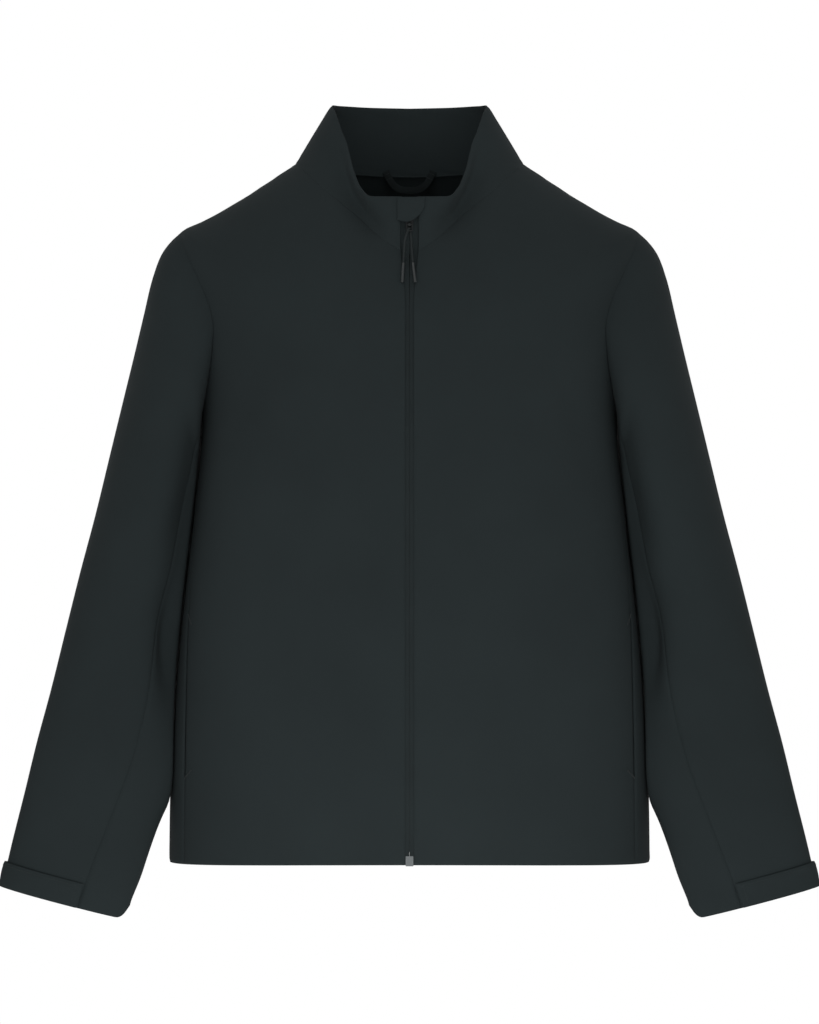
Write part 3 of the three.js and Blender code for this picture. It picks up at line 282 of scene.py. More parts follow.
def sleeve_folds(at, angle):
    """Sum of bells along the sleeve and round it, turning round as they go down."""
    total = 0.0
    for f_at, f_angle, depth, length, spread, turn in SLEEVE_FOLDS:
        along = at - f_at
        around = (angle - f_angle - turn * along + 540) % 360 - 180
        total = total + depth * bell(along / length) * bell(around / spread)
    return total * smooth((at - FOLDS_START) / FOLDS_FADE) * smooth((FOLDS_STOP - at) / FOLDS_FADE)


print("folds:", len(FRONT_FOLDS), "front,", len(BACK_FOLDS), "back,", len(SLEEVE_FOLDS), "each sleeve")

# %% [markdown]
# ## The valley beside the collar
# The stand collar pushes the cloth of the chest down where it rises from it. The valley starts on the
# collar's side, runs down to the neck seam and along it to the zip. It crosses the seam, so it is one
# rule for body and collar: the distance from a line seen from the front.


# %% Collar valley
# x, z of the line on the wearer's left, then depth in millimetres at each of its points
VALLEY = np.array(
    [
        [73, 28, 0.0],
        [74.5, 8, 6.0],
        [72, -14, 10.5],
        [65, -33, 12.0],
        [53, -50, 11.5],
        [40, -62, 8.5],
        [30, -70, 4.0],
        [22.5, -75.5, 0.0],
    ]
)
VALLEY_WIDTH, VALLEY_LOWEST, VALLEY_LAST_Y, VALLEY_FADE = 10.5, -110.0, 10.0, 30.0


def sink_valley(p):
    """Moves points of the front inwards by a bell across the line, as deep as its nearest part."""
    near = (p[..., 2] >= VALLEY_LOWEST) & (p[..., 1] <= VALLEY_LAST_Y)
    if not near.any():
        return p
    q = p[near]
    x, z = np.abs(q[:, 0]), q[:, 2]
    gap, depth = np.full(len(q), np.inf), np.zeros(len(q))
    for (ax, az, a_depth), (bx, bz, b_depth) in zip(VALLEY[:-1], VALLEY[1:]):
        dx, dz = bx - ax, bz - az
        t = np.clip(((x - ax) * dx + (z - az) * dz) / (dx * dx + dz * dz), 0, 1)
        reach = np.hypot(x - ax - t * dx, z - az - t * dz)
        closer = reach < gap
        gap = np.where(closer, reach, gap)
        depth = np.where(closer, a_depth + t * (b_depth - a_depth), depth)
    sunk = depth * bell(gap / VALLEY_WIDTH) * smooth((VALLEY_LAST_Y - q[:, 1]) / VALLEY_FADE)
    p = p.copy()
    p[near] = q + unit(points(-q[:, 0], VALLEY_LAST_Y - q[:, 1], 0.0)) * sunk[:, None]
    return p


print("valley points:", len(VALLEY))

# %% [markdown]
# ## The body
# The body is a stack of rings, square-shouldered ovals like the section of a chest. Low rings are level.
# Higher ones rise at the sides until they pass over the shoulders, and the last is the neck seam. One
# formula with two parameters, the place up the body and the turn round it, gives front and back together,
# so the panels meet exactly at their seams.


# %% Body surface
# Folds fade out towards the side, where the ring turns; measured on its depth, 1 at the middle.
SIDE_PLAIN_TO, SIDE_FADE = 0.3, 0.4


def body_ring(at, turn):
    """Rounded oval: x is half width times sin^p of the turn, y is depth times cos^p, and z climbs from the
    middle height to the side height with a power of x. turn is 0 front middle, 0.5 side, 1 back middle."""
    at, turn = np.broadcast_arrays(np.asarray(at, float), np.asarray(turn, float))
    front = turn < 0.5
    power = 2 / BODY_RINGS(at, "square")
    across = np.maximum(np.sin(turn * np.pi), 0) ** power
    along = np.abs(np.cos(turn * np.pi)) ** power
    lift = across ** np.where(front, BODY_RINGS(at, "front_lift"), BODY_RINGS(at, "back_lift"))
    z_end = np.where(front, BODY_RINGS(at, "z_front"), BODY_RINGS(at, "z_back"))
    depth = np.where(front, BODY_RINGS(at, "front_depth"), BODY_RINGS(at, "back_depth"))
    x = BODY_RINGS(at, "half_width") * across
    z = z_end + (BODY_RINGS(at, "z_side") - z_end) * lift
    fold = np.where(front, body_folds(x, z, FRONT_FOLDS), body_folds(x, z, BACK_FOLDS))
    fold = fold * smooth((along - SIDE_PLAIN_TO) / SIDE_FADE)
    y = BODY_RINGS(at, "mid_y") + np.where(front, -1, 1) * (depth + fold) * along
    return points(x, y, z)


def body(at, turn):
    """The body with the collar's valley in it."""
    return sink_valley(body_ring(at, turn))


ARMHOLE_Y, ARMHOLE_HALF_WIDTH, ARMHOLE_TOP, ARMHOLE_BOTTOM = -2.0, 64.0, -66.5, -250.0
ARMHOLE_MID = (ARMHOLE_TOP + ARMHOLE_BOTTOM) / 2
ARMHOLE_HALF_HEIGHT = (ARMHOLE_TOP - ARMHOLE_BOTTOM) / 2
# A hair's breadth of a ring, to stay off the very ends of the armhole.
HAIR = 1e-4


def armhole_turn(at, front):
    """Where a ring crosses the armhole's oval, before or behind the side."""

    def outside(turn):
        p = body(at, turn)
        y, z = (p[..., 1] - ARMHOLE_Y) / ARMHOLE_HALF_WIDTH, (p[..., 2] - ARMHOLE_MID) / ARMHOLE_HALF_HEIGHT
        return np.hypot(y, z) - 1

    return solve(outside, 0.03, 0.4999, 30) if front else solve(outside, 0.97, 0.5001, 30)


def armhole_places(angles):
    """Ring and turn of points on the armhole, for angles from 0 at the shoulder to 180 at the underarm,
    positive in front and negative behind."""
    angles = np.asarray(angles, float)
    front = angles[len(angles) // 2] > 0
    z = ARMHOLE_MID + ARMHOLE_HALF_HEIGHT * np.cos(np.radians(angles))
    low, high = AT_UNDERARM + HAIR, AT_SHOULDER - HAIR
    at = solve(lambda a: body(a, armhole_turn(a, front))[..., 2] - z, low, high, 30)
    turn = armhole_turn(at, front)
    top, bottom = np.abs(angles) < 0.01, np.abs(angles) > 179.99
    at = np.where(top, AT_SHOULDER, np.where(bottom, AT_UNDERARM, at))
    return at, np.where(top | bottom, 0.5, turn)


def seam_turn(at):
    """Where a ring crosses the side-front seam."""
    y = SIDE_SEAM(at, "y")
    return solve(lambda t: body(at, t)[..., 1] - y, 0.1, 0.5)


def front_turn_at(at, x):
    """Where a ring is at distance x from the middle line, in front."""
    return solve(lambda t: body(at, t)[..., 0] - x, 0.0, 0.5)


half_loop = np.arange(0, 181, 2.0)
armhole_front, armhole_back = body(*armhole_places(half_loop)), body(*armhole_places(-half_loop))
LOOP_ANGLES = np.arange(0, 361, 2.0)
ARMHOLE_LOOP = np.concatenate([armhole_front, armhole_back[::-1][1:]])
print("armhole round its edge:", round(float(run_length(ARMHOLE_LOOP, 0)[-1])), "mm")

# %% [markdown]
# ## The sleeves
# A sleeve starts as the armhole itself, then becomes plain ovals down to the cuff, bent a little at the
# elbow. Where it hangs beside the body it is pressed flatter, so that neither runs into the other.


# %% Sleeve surface
# The armhole's shape is gone after this many rings.
SLEEVE_FIT = 5.0
# How far the sleeve stays off the body, the rings it takes to get there, and how softly it is pushed.
SEAM_CLEAR, SLEEVE_PARTING, SLEEVE_SOFT = 2.0, 0.7, 3.0
# Only points below the shoulder and no further out than this can meet the body.
BESIDE_BODY_Z, BESIDE_BODY_X = ARMHOLE_TOP - 20, 262.0
CUFF_CORNER_RISE, CUFF_CORNER_RINGS, CUFF_CORNER_SHARE = 11.0, 1.2, 0.2
PROFILE_DEPTH, PROFILE_STEP = 88, 4.0


def armhole_point(angle):
    """Point on the armhole's edge: 0 shoulder, 90 front, 180 underarm."""
    return along_line(np.mod(angle, 360), LOOP_ANGLES, ARMHOLE_LOOP)


def side_profiles():
    """Half width of the body against height, for a set of depths."""
    heights = np.linspace(-696, ARMHOLE_TOP, 316)
    at = np.linspace(0, AT_SHOULDER, 81)
    widths = []
    for y in np.arange(-PROFILE_DEPTH, PROFILE_DEPTH + 1, PROFILE_STEP):
        ends = (0.02, 0.4999) if y < ARMHOLE_Y else (0.5001, 0.98)
        p = body(at, solve(lambda t: body(at, t)[..., 1] - y, *ends))
        widths.append(np.interp(heights, p[:, 2], p[:, 0]))
    return heights, np.array(widths)


HEIGHTS, WIDTHS = side_profiles()


def body_half_width(z, y):
    """Bilinear look-up in the side profiles."""
    i = (np.clip(y, -PROFILE_DEPTH, PROFILE_DEPTH - 0.01) + PROFILE_DEPTH) / PROFILE_STEP
    j = np.clip((z - HEIGHTS[0]) / (HEIGHTS[1] - HEIGHTS[0]), 0, len(HEIGHTS) - 1.001)
    i0, j0 = i.astype(int), j.astype(int)
    a, b = i - i0, j - j0
    low = WIDTHS[i0, j0] * (1 - b) + WIDTHS[i0, j0 + 1] * b
    high = WIDTHS[i0 + 1, j0] * (1 - b) + WIDTHS[i0 + 1, j0 + 1] * b
    return low * (1 - a) + high * a


def sleeve_ring(at, angle):
    """Rounded oval: cos^p of the angle runs from the inner to the outer edge, sin^p from back to front.
    At the cuff the inner corner is lifted in a curve, as a parabola of the last fifth of the width."""
    power = 2 / SLEEVE_RINGS(at, "square")
    c, s = np.cos(np.radians(angle)), np.sin(np.radians(angle))
    wide = np.sign(c) * np.abs(c) ** power
    deep = np.sign(s) * np.abs(s) ** power
    out_x, in_x = SLEEVE_RINGS(at, "out_x"), SLEEVE_RINGS(at, "in_x")
    out_z, in_z = SLEEVE_RINGS(at, "out_z"), SLEEVE_RINGS(at, "in_z")
    depth = np.where(s > 0, SLEEVE_RINGS(at, "front_depth"), SLEEVE_RINGS(at, "back_depth"))
    to_cuff = smooth((at - AT_CUFF + CUFF_CORNER_RINGS) / CUFF_CORNER_RINGS)
    corner = np.maximum(-wide - (1 - CUFF_CORNER_SHARE), 0) / CUFF_CORNER_SHARE
    rise = CUFF_CORNER_RISE * to_cuff * corner**2
    x = (out_x + in_x) / 2 + wide * (out_x - in_x) / 2
    z = (out_z + in_z) / 2 + wide * (out_z - in_z) / 2 + rise
    return points(x, SLEEVE_RINGS(at, "mid_y") - depth * deep, z)


def sleeve(at, angle):
    """The armhole's shape fades into plain rings; folds move points in and out; the side that faces the
    body is pushed clear of it."""
    at, angle = np.broadcast_arrays(np.asarray(at, float), np.asarray(angle, float))
    p = sleeve_ring(at, angle)
    fade = 1 - smooth(at / SLEEVE_FIT)
    p = p + (armhole_point(angle) - sleeve_ring(0.0, angle)) * fade[..., None]
    middle = (sleeve_ring(at, 0.0) + sleeve_ring(at, 180.0)) / 2
    p = p + unit(p - middle) * sleeve_folds(at, angle)[..., None]
    reach = smooth(at / SLEEVE_PARTING)
    short = body_half_width(p[..., 2], p[..., 1]) + SEAM_CLEAR * reach - p[..., 0]
    soft = np.maximum(SLEEVE_SOFT * reach, 1e-6)
    push = np.where(short > soft, short, (short + soft) ** 2 / (4 * soft))
    beside = (p[..., 2] < BESIDE_BODY_Z) & (p[..., 0] < BESIDE_BODY_X)
    p[..., 0] += np.where((reach > 0) & beside & (short > -soft), push, 0)
    return p


outer_edge = sleeve(np.linspace(0, AT_CUFF, 90), 0.0)
print("sleeve, outer edge:", round(float(run_length(outer_edge, 0)[-1])), "mm")

# %% [markdown]
# ## The collar and the front strip
# The collar stands on the neck seam and ends in its own top line, which dips in front where the zip ends.
# The front strip runs from the hem to the collar's top beside the zip. The zip tape and the garage follow it.


# %% Collar surface
COLLAR_BULGE, COLLAR_BULGE_FROM, COLLAR_SIDE_SHARE, COLLAR_MIDDLE_Y = 0.5, 0.2, 0.6, -15.0
NECK_PLACES = np.arange(201)


def neck_turns():
    """Turns at 201 places round the neck, spaced evenly before and behind the side."""
    parts = []
    for start, end in ((0.0, 0.5), (0.5, 1.0)):
        turn = np.linspace(start, end, 241)
        run = run_length(body(AT_NECK, turn), 0)
        parts.append(np.interp(np.linspace(0, run[-1], 101), run, turn))
    return np.concatenate([parts[0], parts[1][1:]])


NECK_TURNS = neck_turns()


def collar(up, share):
    """Straight from the neck seam to the top line, and swelled by a parabola between. share is 0 front
    middle, 1 back middle; up is 0 neck seam, 1 top."""
    up, share = np.broadcast_arrays(np.asarray(up, float), np.asarray(share, float))
    place = np.interp(share, [0, COLLAR_SIDE_SHARE, 1], [0, 100, 200])
    bottom = body_ring(AT_NECK, np.interp(place, NECK_PLACES, NECK_TURNS))
    top = points(COLLAR_TOP(share, "x"), COLLAR_TOP(share, "y"), COLLAR_TOP(share, "z"))
    p = bottom + (top - bottom) * up[..., None]
    away = unit(p - points(0.0, COLLAR_MIDDLE_Y, p[..., 2]))
    swell = COLLAR_BULGE * 4 * up * (1 - up) * smooth(share / COLLAR_BULGE_FROM)
    return sink_valley(p + away * swell[..., None])


def outward(surface, a, b, step_a, step_b):
    """Outward direction from the slopes both ways."""
    da = surface(a + step_a, b) - surface(a - step_a, b)
    db = surface(a, b + step_b) - surface(a, b - step_b)
    return unit(-np.cross(da, db))


def body_normal(at, turn):
    return outward(body, np.clip(at, 0.02, AT_NECK - 0.02), np.clip(turn, 0.004, 0.996), 0.02, 0.004)


def sleeve_normal(at, angle):
    return outward(sleeve, np.clip(at, 0.06, AT_CUFF - 0.06), angle, 0.05, 1.5)


def collar_normal(up, share):
    return outward(collar, np.clip(up, 0.02, 0.98), np.clip(share, 0.004, 0.996), 0.02, 0.004)


def collar_share_at(up, x):
    """Where the collar is at distance x from the middle line, in front."""
    return solve(lambda share: collar(up, share)[..., 0] - x, 0.0, 0.14)


def strip(up, x):
    """Points and outward directions of the front strip. up: 0 hem, 1 neck seam, 2 collar top."""
    up, x = np.broadcast_arrays(np.asarray(up, float), np.asarray(x, float))
    reach = np.abs(x)
    at = AT_NECK * np.minimum(up, 1)
    turn = front_turn_at(at, reach)
    over = np.maximum(up - 1, 0)
    share = collar_share_at(over, reach)
    on_collar = (up > 1)[..., None]
    p = np.where(on_collar, collar(over, share), body(at, turn))
    n = np.where(on_collar, collar_normal(over, share), body_normal(at, turn))
    flip = points(np.where(x < 0, -1.0, 1.0), 1.0, 1.0)
    n = n * flip
    n[..., 0] = np.where(reach < 0.01, 0, n[..., 0])
    return p * flip, unit(n)


def strip_up_at(z, x=1.0):
    """Where the strip is at a height, at distance x from the middle line."""
    z = np.asarray(z, float)
    return solve(lambda up: strip(up, np.full(z.shape, x))[0][..., 2] - z, 0.0, 2.0, 24)


back_rise = collar(1.0, 1.0) - collar(0.0, 1.0)
print("collar height behind:", round(float(np.linalg.norm(back_rise))), "mm")

# %% [markdown]
# ## From a surface to a piece of cloth
# A cut piece is a closed wall two millimetres thick. Its rows and columns lie closer together at the
# borders, because there the cloth rolls into the seam: the needle pulls both edges in, which leaves the
# soft groove that shows a seam on a plain dark jacket. Every piece gets this groove from one rule, its
# distance from its own border. Seams that are pressed flat keep almost none of it.


# %% Wall builder
# How deep and how wide a seam rolls in, what a pressed seam keeps of it, and the inner face's share.
SEAM_ROLL, SEAM_ROLL_WIDTH, PRESSED, INNER_ROLL = 0.8, 1.9, 0.08, 0.6
# Puckers: height, distance from the border, width, step along it, and a slow drift of the step.
PUCKER, PUCKER_PLACE, PUCKER_WIDTH, PUCKER_STEP = 0.16, 5.0, 6.0, 11.0
PUCKER_DRIFT, PUCKER_DRIFT_STEP, PUCKER_SLANT = 2.1, 17.0, 9.0
# Grid lines beside a border, in millimetres from it.
NEAR = np.array([0.0, 0.7, 1.6, 2.6, 4.2])
MATERIALS = {}


def make_mesh(name, vertices, faces, round_faces):
    """A mesh from points in millimetres; round_faces says which faces are shaded as one skin."""
    mesh = bpy.data.meshes.new(name)
    mesh.from_pydata(vertices.reshape(-1, 3) * MM, [], faces)
    mesh.polygons.foreach_set("use_smooth", np.asarray(round_faces, bool))
    mesh.update()
    return mesh


def stations(length, count, start=True, end=True, inset=0.0):
    """Distances along a line: evenly spaced, and closer at the ends that are borders. inset is a gap left
    free at the far end."""
    near = NEAR * min(1.0, length / (3 * NEAR[-1]))
    first = near if start else np.array([0.0])
    last = length - inset - (near if end else np.array([0.0]))[::-1]
    return np.concatenate([first, np.linspace(first[-1], last[0], count)[1:-1], last])


def border_distance(p):
    """Distance in millimetres of each point from the nearest border line of the grid."""
    flat = p.reshape(-1, 3)
    nearest = np.full(len(flat), 1e9)
    for line in (p[-1], p[0], p[:, 0], p[:, -1]):
        run = run_length(line, 0)
        dense = along_line(np.arange(0, run[-1], 1.0), run, line)
        for part in np.array_split(np.arange(len(flat)), max(1, len(flat) // 1500)):
            gap = (flat[part] ** 2).sum(1)[:, None] + (dense**2).sum(1) - 2 * flat[part] @ dense.T
            nearest[part] = np.minimum(nearest[part], np.sqrt(np.maximum(gap.min(1), 0)))
    return nearest.reshape(p.shape[:2])


def wall_mesh(name, outer, inner, uv):
    """Closed body between two grids of points, with a UV map in metres. Only its rim is left sharp."""
    rows, columns = outer.shape[:2]
    index = np.arange(rows * columns).reshape(rows, columns)
    a, b, c, d = index[:-1, :-1], index[:-1, 1:], index[1:, 1:], index[1:, :-1]
    face = np.stack([a, b, c, d], -1).reshape(-1, 4)
    back = face[:, ::-1] + rows * columns
    ring = np.concatenate([index[0, :-1], index[:-1, -1], index[-1, :0:-1], index[:0:-1, 0]])
    after = np.roll(ring, -1)
    rim = np.stack([ring, ring + rows * columns, after + rows * columns, after], -1)
    faces = np.concatenate([face, back, rim])
    normal = np.cross(outer[1, 1] - outer[0, 0], outer[1, 0] - outer[0, 1])
    if normal @ (outer[0, 0] - inner[0, 0]) < 0:
        faces = faces[:, ::-1]
    both = np.stack([outer, inner])
    mesh = make_mesh(name, both, faces.tolist(), np.arange(len(faces)) < 2 * len(face))
    layer = mesh.uv_layers.new(name="cloth")
    flat_uv = np.concatenate([uv.reshape(-1, 2), uv.reshape(-1, 2)]) * MM
    layer.data.foreach_set("uv", flat_uv[faces.reshape(-1)].reshape(-1))
    mesh.update()
    return mesh


def add_piece(name, mesh, body_name, slot, nodes=()):
    """Puts a mesh in the scene, riding a body and taking the place of its CAD nodes."""
    piece = bpy.data.objects.new(name, mesh)
    bpy.context.scene.collection.objects.link(piece)
    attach(piece, body_name)
    if nodes:
        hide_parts(*nodes)
    piece.data.materials.append(MATERIALS[slot])
    return piece


def cloth_piece(name, node, p, n, thickness, slot="cloth", lift=0.0, mirror=False, roll=SEAM_ROLL, tight=1.0):
    """A wall of cloth from points and outward directions. The outer face is lifted, less the seam's roll,
    which tight weakens. The inner face lies one thickness deeper and rolls towards it."""
    distance = border_distance(p)
    edge = roll * tight * bell(distance / SEAM_ROLL_WIDTH)
    drift = PUCKER_DRIFT * np.sin(p[..., 2] / PUCKER_DRIFT_STEP) + p[..., 0] / PUCKER_SLANT
    ripple = np.sin(2 * np.pi * p[..., 2] / PUCKER_STEP + drift)
    wave = PUCKER * ripple * bell((distance - PUCKER_PLACE) / PUCKER_WIDTH) if slot == "cloth" else 0.0
    lift = np.broadcast_to(lift, distance.shape)
    outer = p + n * (lift - edge + wave)[..., None]
    inner = p + n * (lift - thickness + INNER_ROLL * edge + wave)[..., None]
    across, along = run_length(p, 1), run_length(p, 0)
    uv = np.stack([across - across[:, -1:] / 2, along], -1)
    if mirror:
        outer, inner = outer * OTHER_SIDE, inner * OTHER_SIDE
    piece = add_piece(name, wall_mesh(name, outer, inner, uv), "jacket", slot, [node])
    cells = np.linalg.norm(np.cross(p[1:, 1:] - p[:-1, :-1], p[1:, :-1] - p[:-1, 1:]), axis=-1) / 2
    return piece, float(cells.sum()) * 1e-6


print("grid lines near a border:", NEAR.tolist(), "mm")

# %% [markdown]
# ## Finishes
# Softshell is a tight knit bonded to a membrane: matte, with a very fine grain and almost no shine, so the
# light only grazes it. The grain is a small bump on the cloth's own UV map, which is in metres. A wide,
# faint cloud of lighter and darker cloth stands for handling and pressing.


# %% Materials
# Length of one wave of the wave pattern at a scale of one, in metres.
WAVE_AT_SCALE_ONE = 0.314


def add_node(tree, kind, place, **values):
    """A node with its input values set by name."""
    node = tree.nodes.new(kind)
    node.location = place
    for name, value in values.items():
        node.inputs[name.replace("_", " ")].default_value = value
    return node


def new_material(name, color, roughness, specular):
    """A plain finish with its constants on the shader itself."""
    material = bpy.data.materials.new(name)
    material.use_nodes = True
    shader = material.node_tree.nodes["Principled BSDF"]
    shader.inputs["Base Color"].default_value = (*color, 1)
    shader.inputs["Roughness"].default_value = roughness
    shader.inputs["Specular IOR Level"].default_value = specular
    return material, material.node_tree, shader


def cloudy(tree, shader, color, spread, scale):
    """Base colour that drifts between two close tones, in Object coordinates."""
    coordinates = add_node(tree, "ShaderNodeTexCoord", (-1100, 300))
    noise = add_node(tree, "ShaderNodeTexNoise", (-850, 300), Scale=scale, Detail=3.0, Roughness=0.55)
    ramp = tree.nodes.new("ShaderNodeValToRGB")
    ramp.location = (-600, 300)
    ramp.color_ramp.elements[0].position = 0.3
    ramp.color_ramp.elements[1].position = 0.7
    ramp.color_ramp.elements[0].color = (*[c * (1 - spread) for c in color], 1)
    ramp.color_ramp.elements[1].color = (*[c * (1 + spread) for c in color], 1)
    tree.links.new(coordinates.outputs["Object"], noise.inputs["Vector"])
    tree.links.new(noise.outputs["Fac"], ramp.inputs["Fac"])
    tree.links.new(ramp.outputs["Color"], shader.inputs["Base Color"])


def woven_bump(tree, shader, step, strength, depth):
    """Two crossed waves on the UV map: threads over and under, step metres apart."""
    uv = add_node(tree, "ShaderNodeUVMap", (-1300, -300))
    uv.uv_map = "cloth"
    waves = []
    for k, direction in enumerate(("X", "Y")):
        place = (-1000, -200 - 250 * k)
        scale = WAVE_AT_SCALE_ONE / step
        wave = add_node(tree, "ShaderNodeTexWave", place, Scale=scale, Distortion=0.6, Detail=1.0)
        wave.bands_direction = direction
        tree.links.new(uv.outputs["UV"], wave.inputs["Vector"])
        waves.append(wave)
    product = tree.nodes.new("ShaderNodeMath")
    product.operation = "MULTIPLY"
    product.location = (-700, -300)
    tree.links.new(waves[0].outputs["Fac"], product.inputs[0])
    tree.links.new(waves[1].outputs["Fac"], product.inputs[1])
    bump = add_node(tree, "ShaderNodeBump", (-450, -300), Strength=strength, Distance=depth)
    tree.links.new(product.outputs["Value"], bump.inputs["Height"])
    tree.links.new(bump.outputs["Normal"], shader.inputs["Normal"])


# slot, name of the finish, colour, roughness, shine, cloud's spread and scale, and the weave's thread
# step in metres, strength and depth where there is one
FINISHES = [
    ["cloth", "softshell_cloth", (0.0098, 0.0138, 0.0146), 0.95, 0.14, 0.07, 9.0, (0.0009, 0.25, 0.0003)],
    ["zip_tape", "zip_tape_weave", (0.0098, 0.0136, 0.0143), 0.95, 0.14, 0.06, 40.0, (0.0007, 0.5, 0.0004)],
    ["loop_strap", "strap_weave", (0.0052, 0.0076, 0.0080), 0.9, 0.14, 0.08, 60.0, (0.001, 0.6, 0.0005)],
    ["thread", "thread", (0.010, 0.0138, 0.0142), 0.7, 0.35, 0.1, 300.0, None],
    ["zip_box", "zip_box_finish", (0.052, 0.06, 0.062), 0.5, 0.4, 0.08, 120.0, None],
    ["slider", "slider_finish", (0.0048, 0.006, 0.0064), 0.45, 0.16, 0.08, 120.0, None],
    ["coil", "coil_finish", (0.009, 0.011, 0.011), 0.5, 0.35, 0.08, 120.0, None],
    ["cord", "cord_finish", (0.0074, 0.0102, 0.0106), 0.75, 0.18, 0.08, 120.0, None],
    ["cord_tip", "cord_tip_finish", (0.010, 0.0125, 0.013), 0.4, 0.34, 0.08, 120.0, None],
]
for slot, name, color, roughness, specular, spread, scale, weave in FINISHES:
    MATERIALS[slot], tree, shader = new_material(name, color, roughness, specular)
    cloudy(tree, shader, color, spread, scale)
    if weave:
        woven_bump(tree, shader, *weave)
print("finishes:", sorted(MATERIALS))

# %% [markdown]
# ## Fronts and back
# Each front is cut from hem to neck and from zip to side. Its side edge runs up the side seam, round the
# armhole and over the shoulder. The back wraps a little forward to meet it. The hem is a fold of the same
# cloth, stitched from inside.


# %% Body panels
# The pocket mouth is a slit of this width between front and back, from one ring to another.
MOUTH_GAP, MOUTH_FROM, MOUTH_TO = 1.0, 0.82, 2.36
# Rings in a millimetre beside the hem and the neck, and how many rings the close rows take.
RINGS_PER_MM, CLOSE_ROWS = 0.0107, 0.045


def zip_turn(at):
    """Where each row of the front ends beside the zip, found in four steps."""
    x = 4.3
    for _ in range(4):
        x = ZIP_OPENING(body(at, front_turn_at(at, x))[..., 2], "half")
    return front_turn_at(at, x)


def mouth_gap(at):
    """What the pocket mouth takes off a row's side edge."""
    return np.where((at > MOUTH_FROM) & (at < MOUTH_TO), MOUTH_GAP, 0.0)


def with_other_half(p, n, middle):
    """The grid of one half and its mirror, joined at their middle column, the first (0) or the last (-1)."""
    n[:, middle, 0] = 0
    if middle == 0:
        return [np.concatenate([(field * OTHER_SIDE)[:, :0:-1], field], 1) for field in (p, n)]
    return [np.concatenate([field, (field * OTHER_SIDE)[:, -2::-1]], 1) for field in (p, n)]


def panel_places(sense):
    """Rows of a body panel from hem to neck, and the turn of its side edge in each. sense is 1 in front
    and -1 behind."""
    low = np.concatenate([NEAR * RINGS_PER_MM, np.linspace(CLOSE_ROWS, AT_UNDERARM, 58)[1:-1]])
    arm_at, arm_turn = armhole_places(sense * np.arange(180, -1, -3.0))
    to_neck = np.linspace(AT_SHOULDER, AT_NECK - CLOSE_ROWS, 22)[1:]
    high = np.concatenate([to_neck, AT_NECK - NEAR[-2::-1] * RINGS_PER_MM])
    at = np.concatenate([low, arm_at, high])
    edge = np.concatenate([seam_turn(low), arm_turn, np.full(len(high), 0.5)])
    return at, edge


def ring_columns(surface, start, end, gap, count, near_start=True, near_end=True):
    """Parameters along each row at stations measured in millimetres."""
    share = np.linspace(0, 1, 241)
    params = start[:, None] + (end - start)[:, None] * share
    run = run_length(surface(params), 1)
    gap = np.broadcast_to(gap, start.shape)
    rows = [
        np.interp(stations(run[i, -1], count, near_start, near_end, gap[i]), run[i], params[i])
        for i in range(len(start))
    ]
    return np.array(rows)


def front_panel():
    """From the zip to the side seam, armhole and shoulder."""
    at, edge = panel_places(1)
    turn = ring_columns(lambda t: body(at[:, None], t), zip_turn(at), edge, mouth_gap(at), 62)
    return body(at[:, None], turn), body_normal(at[:, None], turn)


def back_panel():
    """From the back's middle to the same seams, and its mirror."""
    at, edge = panel_places(-1)
    middle = np.ones(len(at))
    turn = ring_columns(lambda t: body(at[:, None], t), middle, edge, mouth_gap(at), 72, near_start=False)
    return with_other_half(body(at[:, None], turn), body_normal(at[:, None], turn), 0)


SHEETS = []
PRESSED_ABOVE, PRESSED_OVER = -290.0, 60.0


def extent(p):
    """Longest row and longest column of a grid, in metres: the size of the cloth it is cut from."""
    return float(run_length(p, 1)[:, -1].max()) * MM, float(run_length(p, 0)[-1].max()) * MM


def keep_sheet(made, p, rests_on):
    """Notes a piece's cut, with its area, its size and the pieces it rests on."""
    SHEETS.append((*made, extent(p), rests_on))


def flat_above(p):
    """The armhole and neck seams are pressed flatter than the side seams below them."""
    return 1 - (1 - PRESSED) * smooth((p[..., 2] - PRESSED_ABOVE) / PRESSED_OVER)


front_p, front_n = front_panel()
back_p, back_n = back_panel()
front_tight = flat_above(front_p)
for side, mirror in SIDES:
    node = "front_" + side
    made = cloth_piece(node + "_cloth", node, front_p, front_n, CLOTH, mirror=mirror, tight=front_tight)
    keep_sheet(made, front_p, ["back"])
made = cloth_piece("back_cloth", "back", back_p, back_n, CLOTH, tight=flat_above(back_p))
keep_sheet(made, back_p, ["collar"])
for piece, area, flat, _ in SHEETS:
    print(piece.name, "cut", np.round(flat, 3).tolist(), "m, area", round(area, 3), "m2")

# %% [markdown]
# ## Sleeves
# A two-piece sleeve: a wide upper piece over the outside of the arm, and a narrow under piece. The front
# seam between them slants across the forearm to the cuff. The first row of each goes on a little under the
# body's edge, as a seam allowance does, and lets no light through.


# %% Sleeve pieces
TUCK_LENGTH, TUCK_DEPTH = 1.4, 1.1
# The armhole seam is pressed over this length of the sleeve.
SLEEVE_PRESSED = 60.0


def with_tucked_row(p, n):
    """One more row before the first, which goes on for a short way under the next piece's edge."""
    before = p[0] + unit(p[0] - p[1]) * TUCK_LENGTH
    return np.concatenate([before[None], p]), np.concatenate([n[:1], n])


def tuck(p):
    """Lift of a piece whose first row is tucked in."""
    lift = np.zeros(p.shape[:2])
    lift[0] = -TUCK_DEPTH
    return lift


